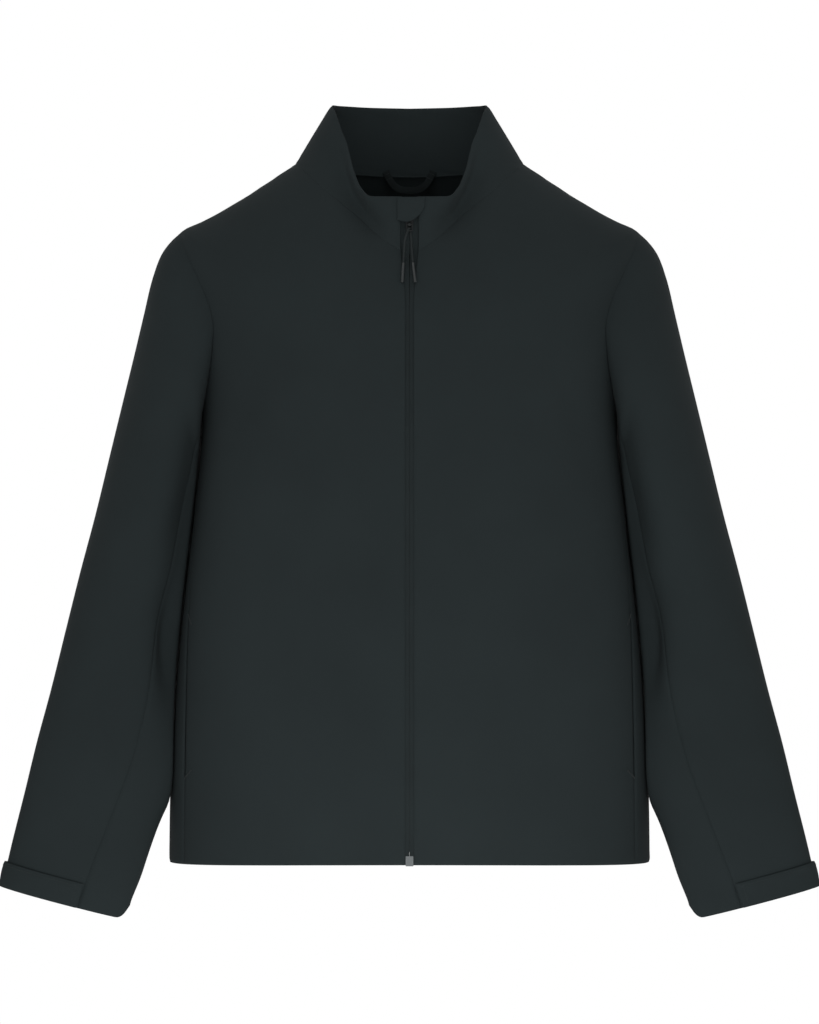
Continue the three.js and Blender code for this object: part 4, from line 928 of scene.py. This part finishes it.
def sleeve_piece(from_seam, to_seam, wrap, count):
    """From one seam round to the other, with wrap degrees added where it crosses the start of the turn."""
    near_cuff = AT_CUFF - NEAR[::-1] / 50
    near_armhole = NEAR / 20
    at = np.concatenate([near_armhole, np.linspace(near_armhole[-1], near_cuff[0], 120)[1:-1], near_cuff])
    start, end = SLEEVE_RINGS(at, from_seam), SLEEVE_RINGS(at, to_seam) + wrap
    angle = ring_columns(lambda a: sleeve(at[:, None], a), start, end, 0.0, count)
    return with_tucked_row(sleeve(at[:, None], angle), sleeve_normal(at[:, None], angle))


upper_p, upper_n = sleeve_piece("back_seam", "front_seam", 0, 84)
under_p, under_n = sleeve_piece("front_seam", "back_seam", 360, 46)
for side, mirror in SIDES:
    for part, p, n in (("upper", upper_p, upper_n), ("under", under_p, under_n)):
        node = f"sleeve_{part}_{side}"
        pressed = 1 - (1 - PRESSED) * smooth(1 - run_length(p, 0) / SLEEVE_PRESSED)
        made = cloth_piece(node + "_cloth", node, p, n, CLOTH, lift=tuck(p), mirror=mirror, tight=pressed)
        keep_sheet(made, p, ["front_" + side, "back"])
print("sleeve pieces:", [sheet[0].name for sheet in SHEETS[3:]])

# %% [markdown]
# ## Small cloth pieces
# The collar is two layers folded over at the top, so its edge is rounder and thicker than a panel's. The
# cuff tab lies on the sleeve's outer half and closes the cuff. The garage is a little hood of cloth that
# covers the slider at the top of the zip. Behind each pocket mouth lies a narrow facing.


# %% Collar, tabs, garage and facings
COLLAR_PRESSED = 40.0


def collar_piece():
    """One side from the zip to the back's middle, and its mirror, with its foot tucked in."""
    near = NEAR / 90
    up = np.concatenate([near, np.linspace(near[-1], 1 - near[-1], 26)[1:-1], 1 - near[::-1]])
    x = 8.6
    for _ in range(4):
        x = ZIP_OPENING(collar(up, collar_share_at(up, x))[..., 2], "half")
    start, middle = collar_share_at(up, x), np.ones(len(up))
    share = ring_columns(lambda s: collar(up[:, None], s), start, middle, 0.0, 120, near_end=False)
    p, n = collar(up[:, None], share), collar_normal(up[:, None], share)
    return with_tucked_row(*with_other_half(p, n, -1))


# The tab stands off the cuff by a bow, and ends this many degrees before the two sleeve seams.
TAB_RINGS, TAB_HEIGHT, TAB_ROUND, TAB_THICK, TAB_STAND = 0.6, 32.0, 160.0, 2.4, 1.2
TAB_BEHIND, TAB_BEFORE = 3, 1
TAB_WALL = TAB_THICK - 0.2


def tab_piece():
    """Points, directions and lift of a tab; its share runs from behind to the front seam."""
    at = AT_CUFF - TAB_RINGS * (1 - stations(TAB_HEIGHT, 16) / TAB_HEIGHT)
    share = stations(TAB_ROUND, 70) / TAB_ROUND
    start, end = SLEEVE_RINGS(at, "back_seam") + TAB_BEHIND, SLEEVE_RINGS(at, "front_seam") - TAB_BEFORE
    angle = start[:, None] + (end - start)[:, None] * share
    lift = LAY + TAB_THICK + TAB_STAND * np.sin(np.pi * share)
    return sleeve(at[:, None], angle), sleeve_normal(at[:, None], angle), lift


GARAGE_LEFT, GARAGE_RIGHT, GARAGE_BOTTOM, GARAGE_CORNER = -12.0, 15.0, -63.0, -45.0
GARAGE_ROUND_FROM, GARAGE_LENGTH, GARAGE_THICK, GARAGE_TOP_UP = -6.0, 24.0, 1.8, 1.985


def garage_piece():
    """A flap whose lower right corner is a quarter of an oval."""
    x = GARAGE_LEFT + stations(GARAGE_RIGHT - GARAGE_LEFT, 30)
    round_share = np.clip((x - GARAGE_ROUND_FROM) / (GARAGE_RIGHT - GARAGE_ROUND_FROM), 0, 1)
    bottom = GARAGE_CORNER + (GARAGE_BOTTOM - GARAGE_CORNER) * np.sqrt(1 - round_share**2)
    low = strip_up_at(bottom, 5.0)
    share = stations(GARAGE_LENGTH, 20) / GARAGE_LENGTH
    up = GARAGE_TOP_UP + (low - GARAGE_TOP_UP)[None, :] * share[:, None]
    return strip(up, x[None, :])


FACING_HALF, FACING_THICK, FACING_BEHIND = 6.0, 0.9, 0.7


def facing_piece():
    """A narrow band to each side of the side-front seam, a little shorter than the pocket mouth."""
    at = np.linspace(MOUTH_FROM + 0.02, MOUTH_TO - 0.02, 60)
    middle = seam_turn(at)
    per_turn = np.linalg.norm(body(at, middle + 0.005) - body(at, middle - 0.005), axis=-1) / 0.01
    turn = middle[:, None] + np.linspace(-FACING_HALF, FACING_HALF, 9) / per_turn[:, None]
    return body(at[:, None], turn), body_normal(at[:, None], turn)


collar_p, collar_n = collar_piece()
pressed = PRESSED + (1 - PRESSED) * smooth(run_length(collar_p, 0) / COLLAR_PRESSED)
cut = {"lift": tuck(collar_p), "roll": 1.0, "tight": pressed}
made = cloth_piece("collar_cloth", "collar", collar_p, collar_n, COLLAR_CLOTH, **cut)
keep_sheet(made, collar_p, ["front_left", "front_right", "back"])
tab_p, tab_n, tab_lift = tab_piece()
facing_p, facing_n = facing_piece()
for side, mirror in SIDES:
    node = "cuff_tab_" + side
    cut = {"lift": tab_lift, "mirror": mirror, "roll": 0.9}
    made = cloth_piece(node + "_cloth", node, tab_p, tab_n, TAB_WALL, **cut)
    keep_sheet(made, tab_p, ["sleeve_upper_" + side])
    node = "pocket_facing_" + side
    cut = {"lift": -(CLOTH + FACING_BEHIND), "mirror": mirror, "roll": 0.1}
    made = cloth_piece(node + "_cloth", node, facing_p, facing_n, FACING_THICK, **cut)
    keep_sheet(made, facing_p, ["front_" + side, "back"])
garage_p, garage_n = garage_piece()
cut = {"lift": LAY + GARAGE_THICK, "roll": 0.7}
made = cloth_piece("zip_garage_cloth", "zip_garage", garage_p, garage_n, GARAGE_THICK, **cut)
keep_sheet(made, garage_p, ["collar"])
print("collar round its top:", round(float(run_length(collar_p, 1)[-1, -1])), "mm")

# %% [markdown]
# ## The zip
# A reversed coil zip: from outside only two flat tapes show, which meet in a fine line. The coil is on the
# inside. Each coil is one plastic thread wound round and round beside the tape's edge, and the two sides
# lock into each other, so the turns of one lie half a step beside those of the other.


# %% Zip tapes and coil
TAPE_WIDTH, TAPE_THICK, TAPE_LAY, TAPE_GAP, TAPE_TOP, TAPE_BEND = 16.0, 1.0, 0.5, 0.06, -54.0, 0.12
# The tape's face, counted out from the front's face, and how it rises below the slider.
TAPE_FACE = -(COLLAR_CLOTH + TAPE_LAY)
TAPE_RISE, TAPE_RISE_FROM, TAPE_RISE_OVER = 1.7, -84.0, 40.0
COIL_STEP, COIL_RADIUS, COIL_WIRE, COIL_TOP, COIL_BOTTOM = 1.7, 1.5, 0.33, -72.0, -676.0
# The coil's middle stands off the zip's line, and its turns swing to both sides of that.
COIL_MIDDLE_X, COIL_SWING, COIL_FLAT, COIL_LAY = 1.25, 1.55, 0.75, 0.4


def tape_lift(z):
    """The tape lies deep under the slider's front plate, and rises below it to just under the cloth."""
    return TAPE_FACE + TAPE_RISE * smooth((TAPE_RISE_FROM - z) / TAPE_RISE_OVER)


def tape_piece():
    """From the hem to the collar's stitching, a hair off the middle line."""
    top = float(strip_up_at(TAPE_TOP))
    up = np.concatenate([np.linspace(0, 1, 150), np.linspace(1, top, 14)[1:]])
    x = TAPE_GAP + stations(TAPE_WIDTH - TAPE_GAP, 12)
    return strip(up[:, None], x[None, :])


def tube_mesh(name, path, side, radius, sides, closed=False, power=2.0):
    """Skin round a path. side is a direction across the path; the section is a rounded square, its two
    radii times cos^p and sin^p. Open ends are closed with flat fans."""
    after, before = np.roll(path, -1, 0), np.roll(path, 1, 0)
    along = after - before
    if not closed:
        along[0], along[-1] = path[1] - path[0], path[-1] - path[-2]
    along = unit(along)
    side = unit(side - along * (side * along).sum(1)[:, None])
    other = np.cross(along, side)
    turn = np.arange(sides) * 2 * np.pi / sides
    c, s = np.cos(turn), np.sin(turn)
    c, s = np.sign(c) * np.abs(c) ** (2 / power), np.sign(s) * np.abs(s) ** (2 / power)
    radius = np.broadcast_to(np.asarray(radius, float), (len(path), 2))
    wide, deep = (c * radius[:, :1])[..., None], (s * radius[:, 1:])[..., None]
    ring = path[:, None] + side[:, None] * wide + other[:, None] * deep
    count = len(path)
    index = np.arange(count * sides).reshape(count, sides)
    lower = index if closed else index[:-1]
    upper = np.roll(index, -1, 0) if closed else index[1:]
    faces = np.stack([lower, np.roll(lower, -1, 1), np.roll(upper, -1, 1), upper], -1).reshape(-1, 4).tolist()
    if not closed:
        faces += [index[0, ::-1].tolist(), index[-1].tolist()]
    return make_mesh(name, ring, faces, [len(f) == 4 for f in faces])


def joined(name, meshes):
    """One mesh from several closed ones."""
    vertices, faces, round_faces, shift = [], [], [], 0
    for mesh in meshes:
        part = np.empty(len(mesh.vertices) * 3)
        mesh.vertices.foreach_get("co", part)
        vertices.append(part / MM)
        faces += [[v + shift for v in p.vertices] for p in mesh.polygons]
        round_faces += [p.use_smooth for p in mesh.polygons]
        shift += len(mesh.vertices)
        bpy.data.meshes.remove(mesh)
    return make_mesh(name, np.concatenate(vertices), faces, round_faces)


def coil_path(side):
    """A flattened screw line down the inside of the tape: out by cos, sideways by sin."""
    heights = np.arange(COIL_BOTTOM, COIL_TOP, COIL_STEP / 9)
    middle, n = strip(np.linspace(0.02, 1.2, 160), 0.5)
    deep = tape_lift(middle[:, 2]) - TAPE_THICK - COIL_RADIUS - COIL_LAY
    centre = along_line(heights, middle[:, 2], middle + n * deep[:, None])
    depth = along_line(heights, middle[:, 2], n)
    turn = heights / COIL_STEP * 2 * np.pi + (0 if side > 0 else np.pi)
    x = side * (COIL_MIDDLE_X + COIL_SWING * np.sin(turn))
    return points(x, centre[:, 1], centre[:, 2]) + depth * (COIL_RADIUS * COIL_FLAT * np.cos(turn))[:, None]


tape_p, tape_n = tape_piece()
tape_face = tape_lift(tape_p[..., 2])
for side, mirror in SIDES:
    node, coil = "zip_tape_" + side, "zip_coil_" + side
    cut = {"slot": "zip_tape", "lift": tape_face, "mirror": mirror, "roll": TAPE_BEND}
    made = cloth_piece(node + "_weave", node, tape_p, tape_n, TAPE_THICK, **cut)
    keep_sheet(made, tape_p, ["front_" + side])
    path = coil_path(-1 if mirror else 1)
    add_piece(coil, tube_mesh(coil, path, (0.0, 0.0, 1.0), COIL_WIRE, 5), "jacket", "coil")
print("coil turns on each side:", int((COIL_TOP - COIL_BOTTOM) / COIL_STEP))

# %% [markdown]
# ## Slider, pull and box
# The slider is die-cast and painted: a front plate, a bridge with an eye, and a back plate behind the
# coils. A wire ring hangs in the eye. A thin cord is folded over the ring, and each leg ends in a moulded
# tip, so that a gloved hand finds it. The box at the foot is moulded on the tape's end.


# %% Hard parts of the zip
HINGE_Z, HINGE_OUT, RING_BAR, RING_HALF_WIDTH, RING_LENGTH = -66.2, 2.8, 1.2, 3.4, 7.0
SLIDER_LOW, SLIDER_HIGH, SLIDER_PLATE = -70.0, -51.0, 1.4
FACE_Y = float(strip(strip_up_at(HINGE_Z), 0.5)[0][1])
# How far out from the front's face the plates lie: two faces of the front one, and the back one's outer face.
PLATE_BACK, PLATE_UNDER = TAPE_FACE + LAY, TAPE_FACE - TAPE_THICK - LAY
PLATE_FRONT = PLATE_BACK + SLIDER_PLATE
BAR_Z = HINGE_Z + RING_BAR - RING_LENGTH
BOX_HALF_WIDTH, BOX_HEIGHT, BOX_DEPTH = 3.9, 10.0, 2.2


def rounded_outline(half_top, half_bottom, z_low, z_high, corner, steps=7):
    """Four-cornered outline with quarter circles at its corners, counted round."""
    low, high = z_low + corner, z_high - corner
    out = []
    for sx, half, z, start in (
        (1, half_bottom, low, -90),
        (1, half_top, high, 0),
        (-1, half_top, high, 90),
        (-1, half_bottom, low, 180),
    ):
        turn = np.radians(start + np.linspace(0, 90, steps))
        out.append(np.stack([sx * (half - corner) + corner * np.cos(turn), z + corner * np.sin(turn)], 1))
    return np.concatenate(out)


def plate_mesh(name, outline, y_front, y_back, edge):
    """Outline pushed from y_front to y_back, its edges rounded by a quarter circle."""
    turn = np.radians(np.linspace(0, 90, 4))
    inset, step = edge * (1 - np.sin(turn)), edge * (1 - np.cos(turn))
    insets = np.concatenate([inset, inset[::-1]])
    depths = np.concatenate([y_front + step, y_back - step[::-1]])
    middle = (outline.min(0) + outline.max(0)) / 2
    half = (outline.max(0) - outline.min(0)) / 2
    rings = middle + (outline - middle)[None] * (1 - insets[:, None, None] / half)
    p = points(rings[..., 0], depths[:, None], rings[..., 1])
    count, sides = p.shape[:2]
    index = np.arange(count * sides).reshape(count, sides)
    after = np.roll(index, -1, 1)
    faces = np.stack([index[:-1], index[1:], after[1:], after[:-1]], -1).reshape(-1, 4).tolist()
    faces += [index[0].tolist(), index[-1, ::-1].tolist()]
    return make_mesh(name, p, faces, [len(f) == 4 for f in faces])


def out_y(out):
    """Depth of a point that stands this far out from the front's face at the hinge."""
    return FACE_Y - out


def slider_mesh():
    """Front plate, back plate and the neck that joins them at the top, with an arched bridge in front."""
    front_line = rounded_outline(4.8, 3.5, SLIDER_LOW, SLIDER_HIGH, 1.6)
    back_line = rounded_outline(4.8, 3.8, SLIDER_LOW, SLIDER_HIGH, 1.4)
    neck_line = rounded_outline(2.2, 1.2, SLIDER_HIGH - 2.8, SLIDER_HIGH - 0.6, 0.5)
    front = plate_mesh("front_plate", front_line, out_y(PLATE_FRONT), out_y(PLATE_BACK), 0.45)
    back = plate_mesh("back_plate", back_line, out_y(PLATE_UNDER), out_y(PLATE_UNDER - SLIDER_PLATE), 0.4)
    neck = plate_mesh("neck", neck_line, out_y(PLATE_FRONT - 0.5), out_y(PLATE_UNDER - 0.5), 0.2)
    turn = np.radians(np.linspace(-90, 90, 21))
    rise = HINGE_OUT + RING_BAR / 2 + 0.9 - PLATE_FRONT
    arch_out = PLATE_FRONT - 0.3 + rise * np.cos(turn) ** 0.6
    arch_z = HINGE_Z + 1.65 * np.sign(turn) * np.abs(np.sin(turn)) ** 0.8
    arch = points(0.0, out_y(arch_out), arch_z)
    bridge = tube_mesh("bridge", arch, (1.0, 0.0, 0.0), (1.5, 0.45), 12, power=3.0)
    return joined("zip_slider_painted", [front, back, neck, bridge])


def ring_mesh():
    """Rounded rectangle of wire, its upper bar on the hinge line."""
    half = RING_HALF_WIDTH - RING_BAR / 2
    outline = rounded_outline(half, half, BAR_Z, HINGE_Z, 1.0, 6)
    path = points(outline[:, 0], out_y(HINGE_OUT), outline[:, 1])
    return tube_mesh("pull_ring_painted", path, (0.0, 1.0, 0.0), 0.58, 10, closed=True, power=2.6)


def front_y(out, z):
    """Depth of a point that stands a distance out from the front strip at a height."""
    return strip(strip_up_at(z), 0.5)[0][..., 1] - out


def box_mesh():
    """A small block at the foot of the zip, let down a millimetre below the hem."""
    low = strip(0.0, 1.0)[0]
    outline = rounded_outline(BOX_HALF_WIDTH, BOX_HALF_WIDTH, low[2] - 1, low[2] + BOX_HEIGHT - 1, 0.9)
    back = low[1] + COLLAR_CLOTH
    return plate_mesh("zip_box_moulded", outline, back - BOX_DEPTH, back, 0.35)


add_piece("zip_slider_painted", slider_mesh(), "jacket", "slider", ["zip_slider"])
add_piece("pull_ring_painted", ring_mesh(), "zip_pull", "slider", ["pull_ring"])
add_piece("zip_box_moulded", box_mesh(), "jacket", "zip_box", ["zip_box"])
print("hinge at depth", round(out_y(HINGE_OUT), 2), "and height", HINGE_Z, "mm")

# %% [markdown]
# ## The pull cord
# One soft cord, 2.2 mm thick, passes once over the ring's lower bar. Its two legs hang down the front of
# the jacket and are cut off in their tips. Each leg is a round skin on its own line from the fold down.


# %% Cord legs and tips
CORD_DIAMETER, FOLD_RADIUS, TIP_LENGTH, TIP_OUT = 2.2, 1.08, 20.0, 2.8
# x, distance out from the slider's or the front's face, z; from the fold down to the tip
LEG_RIGHT = [[-2.2, 4.8, -73.5], [-4.2, 4.6, -80.0], [-5.4, 3.4, -92.0], [-6.0, 3.0, -103.2]]
LEG_LEFT = [[1.0, 0.8, -73.5], [1.5, 1.2, -80.0], [2.2, 2.2, -91.0], [3.2, 2.7, -103.2]]
FOLD = [[-2.2, 4.8, -73.5], [-1.0, 4.24, -70.56], [0.0, 2.8, -69.9], [0.6, 1.36, -70.56], [1.0, 0.8, -73.5]]
LEGS_LIE_BELOW = -85.0


def route(rows, count=28):
    """Smooth line through chosen points; low down it follows the front's own face."""
    rows = np.array(rows, float)
    y = np.where(rows[:, 2] < LEGS_LIE_BELOW, front_y(rows[:, 1], rows[:, 2]), out_y(rows[:, 1]))
    p = points(rows[:, 0], y, rows[:, 2])
    run = run_length(p, 0)
    read = table(["run", "x", "y", "z"], np.column_stack([run, p]))
    place = np.linspace(0, run[-1], count)
    return points(read(place, "x"), read(place, "y"), read(place, "z"))


def tip_mesh(name, start, end):
    """Moulded sleeve: a short collar on the cord, an even barrel and a rounded end."""
    share = np.array([0.0, 0.01, 0.03, 0.3, 0.7, 0.95, 0.985, 1.0])
    radius = np.array([1.15, 1.33, 1.42, 1.45, 1.45, 1.4, 1.2, 0.75])
    path = start + (end - start) * share[:, None]
    return tube_mesh(name, path, (1.0, 0.0, 0.0), np.column_stack([radius, radius]), 14)


fold_skin = tube_mesh("pull_cord_fold", route(FOLD, 30), (0.0, 0.3, 1.0), FOLD_RADIUS, 12)
fold = add_piece("pull_cord_fold", fold_skin, "zip_pull", "cord")
# side, chosen points, how far sideways its tip ends, CAD nodes it takes the place of, what comes with it
LEGS = [["right", LEG_RIGHT, -7.1, ["pull_cord"], [fold]], ["left", LEG_LEFT, 5.5, [], []]]
for side, rows, end_x, nodes, extra in LEGS:
    line = route(rows)
    end_z = rows[-1][2] - TIP_LENGTH
    end = points(end_x, front_y(TIP_OUT, end_z), end_z)
    tip_node, leg_name = "pull_tip_" + side, "pull_cord_" + side
    barrel = tip_mesh(tip_node, line[-1] + unit(end - line[-1]) * 0.3, end)
    tip = add_piece(tip_node + "_moulded", barrel, "zip_pull", "cord_tip", [tip_node])
    skin = tube_mesh(leg_name, line, (1.0, 0.0, 0.0), CORD_DIAMETER / 2, 12)
    leg = add_piece(leg_name, skin, "zip_pull", "cord", nodes)

# %% [markdown]
# ## Hanger loop
# A narrow woven strap inside the back neck, sewn on at both ends and hanging in a shallow bow, so that a
# hook can pass through it.


# %% Hanger loop
LOOP_HALF_SPAN, LOOP_LOW, LOOP_TOP, LOOP_FORWARD, LOOP_SEAT = 24.0, -25.0, -2.0, 3.0, 0.08
LOOP_WIDTH, LOOP_THICK, LOOP_STAND = 7.0, 1.3, 0.75
# The strap's rough length, which only spaces its grid lines.
LOOP_RUN = 100.0


def loop_piece():
    """z falls from the seats by one less |x|^3.2; the strap's width turns with the bow."""
    x = -LOOP_HALF_SPAN + 2 * LOOP_HALF_SPAN * stations(LOOP_RUN, 60) / LOOP_RUN
    sag = 1 - (np.abs(x) / LOOP_HALF_SPAN) ** 3.2
    z = LOOP_TOP + (LOOP_LOW + LOOP_WIDTH / 2 - LOOP_TOP) * sag
    seat = solve(lambda s: collar(LOOP_SEAT, s)[..., 0] - np.abs(x), 0.7, 1.0)
    y = collar(LOOP_SEAT, seat)[..., 1] - (COLLAR_CLOTH + 4 * LAY + LOOP_STAND) - LOOP_FORWARD * sag
    line = points(x, y, z)
    along = unit(np.gradient(line, axis=0) * [1, 0, 1])
    across = points(-along[:, 2], 0.0, along[:, 0])
    width = stations(LOOP_WIDTH, 5) - LOOP_WIDTH / 2
    p = line[None] + across[None] * width[:, None, None]
    return p, np.broadcast_to([0.0, -1.0, 0.0], p.shape)


loop_p, loop_n = loop_piece()
cut = {"slot": "loop_strap", "lift": LOOP_THICK / 2, "roll": 0.3}
cloth_piece("hanger_loop_strap", "hanger_loop", loop_p, loop_n, LOOP_THICK, **cut)
print("strap length:", round(extent(loop_p)[0] * 1000), "mm")

# %% [markdown]
# ## Stitches
# Softshell seams are sewn from inside, so little thread shows. What does show: the bar tacks that hold the
# ends of the pocket mouths, a row round three sides of the cuff tab, the row that holds the zip tape
# inside, and the ends of the hanger loop. Each stitch is a short round thread that dips in at both ends.


# %% Stitches
TACK_HALF_WIDTH, TACK_LIFT = 1.1, 0.15


def stitch_mesh(name, starts, ends, normals, radius):
    """All stitches at once: a six-ring arc of thread between each start and end, risen by a sine."""
    share = np.linspace(0, 1, 6)
    along = ends - starts
    side = unit(np.cross(unit(along), normals))
    up = np.cross(side, unit(along))
    turn = np.arange(6) * np.pi / 3
    rise = radius * (1.6 * np.sin(np.pi * share) - 0.6)
    thick = radius * (0.55 + 0.45 * np.sin(np.pi * share))
    centre = starts[:, None] + along[:, None] * share[:, None] + up[:, None] * rise[:, None]
    ring = (
        centre[:, :, None]
        + side[:, None, None] * (np.cos(turn) * thick[:, None])[None, :, :, None]
        + up[:, None, None] * (np.sin(turn) * thick[:, None])[None, :, :, None]
    )
    count = len(starts)
    index = np.arange(count * 36).reshape(count, 6, 6)
    lower, upper = index[:, :-1], index[:, 1:]
    faces = np.stack([lower, upper, np.roll(upper, -1, 2), np.roll(lower, -1, 2)], -1).reshape(-1, 4).tolist()
    faces += index[:, 0, :].tolist() + index[:, -1, ::-1].tolist()
    return make_mesh(name, ring, faces, np.ones(len(faces)))


def sewn_line(line, normals, pitch, share=0.78):
    """Starts, ends and directions of stitches along a line; share is the part of each step on top."""
    run = run_length(line, 0)
    count = int(run[-1] / pitch)
    first = (np.arange(count) + 0.5 * (1 - share)) * run[-1] / count
    last = first + share * run[-1] / count
    starts, ends = along_line(first, run, line), along_line(last, run, line)
    return starts, ends, along_line((first + last) / 2, run, normals)


def add_stitches(name, parts, radius, mirror=False):
    """One piece from several sewn rows."""
    starts, ends, normals = (np.concatenate([part[k] for part in parts]) for k in range(3))
    if mirror:
        starts, ends, normals = starts * OTHER_SIDE, ends * OTHER_SIDE, normals * OTHER_SIDE
    add_piece(name, stitch_mesh(name, starts, ends, normals, radius), "jacket", "thread")


def bar_tack(at, drop, reach=11.0, threads=17):
    """Close threads across a short slanting bar, forward of the side-front seam."""
    turn = float(seam_turn(np.array([at]))[0])
    per_turn = float(np.linalg.norm(body(at, turn - 0.005) - body(at, turn))) / 0.005
    places = np.linspace(1.0, reach, threads)
    line = body(at + drop * places / reach, turn - places / per_turn)
    normal = body_normal(np.full(threads, at), turn - places / per_turn)
    cross = unit(np.cross(normal, np.gradient(line, axis=0))) * TACK_HALF_WIDTH
    return line - cross + normal * TACK_LIFT, line + cross + normal * TACK_LIFT, normal


tab_face = tab_p + tab_n * tab_lift[..., None]
inside = slice(4, -4)
tab_rows = [
    sewn_line(tab_face[4, inside], tab_n[4, inside], 2.6),
    sewn_line(tab_face[inside, -5], tab_n[inside, -5], 2.6),
    sewn_line(tab_face[inside, 4], tab_n[inside, 4], 2.6),
]
tape_inside = tape_p + tape_n * (tape_face - TAPE_THICK)[..., None]
tape_rows = [sewn_line(tape_inside[:, 9], -tape_n[:, 9], 2.8)]
tacks = [bar_tack(MOUTH_TO - 0.02, -0.09), bar_tack(MOUTH_FROM + 0.01, 0.09)]
for side, mirror in SIDES:
    add_stitches("bar_tacks_" + side, tacks, 0.28, mirror)
    add_stitches("tab_stitches_" + side, tab_rows, 0.16, mirror)
    add_stitches("tape_stitches_" + side, tape_rows, 0.2, mirror)
strap_face = loop_p + loop_n * LOOP_THICK / 2
seat_rows = [sewn_line(strap_face[1:-1, k], loop_n[1:-1, k], 1.6) for k in (3, 6, -7, -4)]
add_stitches("loop_stitches", seat_rows, 0.18)
counts = [sum(len(row[0]) for row in rows) for rows in (tacks, tab_rows, tape_rows, seat_rows)]
print("stitches: bar tacks", counts[0], "tab", counts[1], "tape", counts[2], "strap", counts[3])

# %% [markdown]
# ## The cut pieces
# The count of cut pieces and their area of cloth are printed. The strap of the hanger loop is too narrow
# to count as one.

# %% Sheets
for piece, area, flat, rests_on in SHEETS:
    area = min(area, flat[0] * flat[1])
print(len(SHEETS), "sheets,", round(sum(sheet[1] for sheet in SHEETS), 3), "m2 of cloth")

# %% [markdown]
# ## Stage and light
# A pale floor well below and a white surround give most of the light, so nothing on the dark cloth casts a
# hard shadow. Large soft lights in front, above and from each side are weak. A low one brightens the lower
# middle of the front, and a small one reaches into the neck.


# %% Stage and light
def area_light(name, place, target, size, power):
    """A soft rectangle of light that looks at its target."""
    data = bpy.data.lights.new(name, "AREA")
    data.shape = "RECTANGLE"
    data.size, data.size_y = size
    data.energy = power
    light = bpy.data.objects.new(name, data)
    light.location = place
    away = np.array(target, float) - np.array(place, float)
    tilt = np.arctan2(np.hypot(away[0], away[1]), -away[2])
    light.rotation_euler = (tilt, 0.0, np.arctan2(away[1], away[0]) - np.pi / 2)
    bpy.context.scene.collection.objects.link(light)


def white_surround(seen, cast):
    """The surround looks white and lights the scene less than it looks."""
    world = bpy.data.worlds.new("surround")
    world.use_nodes = True
    tree = world.node_tree
    path = tree.nodes.new("ShaderNodeLightPath")
    strength = tree.nodes.new("ShaderNodeMapRange")
    strength.inputs["To Min"].default_value = cast
    strength.inputs["To Max"].default_value = seen
    tree.links.new(path.outputs["Is Camera Ray"], strength.inputs["Value"])
    background = tree.nodes["Background"]
    background.inputs["Color"].default_value = (1, 1, 1, 1)
    tree.links.new(strength.outputs["Result"], background.inputs["Strength"])
    bpy.context.scene.world = world


FLOOR_Z, FLOOR_SIZE = -1.15, 4.0
# name, place, what it looks at, size in metres, power in watts
LIGHTS = [
    ["key", (0.0, -3.0, -1.0), (0.0, 0.0, -0.5), (2.6, 1.4), 14],
    ["low", (0.0, -0.9, -1.05), (0.0, -0.1, -0.75), (0.5, 0.25), 6.5],
    ["neck", (0.0, -0.5, 0.6), (0.0, 0.05, 0.0), (0.4, 0.3), 1.0],
    ["top", (0.0, -1.8, 1.8), (0.0, 0.0, -0.2), (2.0, 1.2), 5],
    ["side_left", (-2.2, -0.9, 0.2), (0.0, 0.0, -0.3), (1.2, 2.0), 3],
    ["side_right", (2.2, -0.9, 0.2), (0.0, 0.0, -0.3), (1.2, 2.0), 3],
]
bpy.ops.mesh.primitive_plane_add(size=FLOOR_SIZE, location=(0.0, 0.0, FLOOR_Z))
floor = bpy.context.object
floor.name = "floor"
floor.data.materials.append(new_material("floor_paint", (0.86, 0.86, 0.86), 0.9, 0.2)[0])
white_surround(1.0, 0.83)
for light in LIGHTS:
    area_light(*light)
bpy.context.scene.view_settings.view_transform = "Standard"
print("floor at", FLOOR_Z, "m,", len(LIGHTS), "lights")
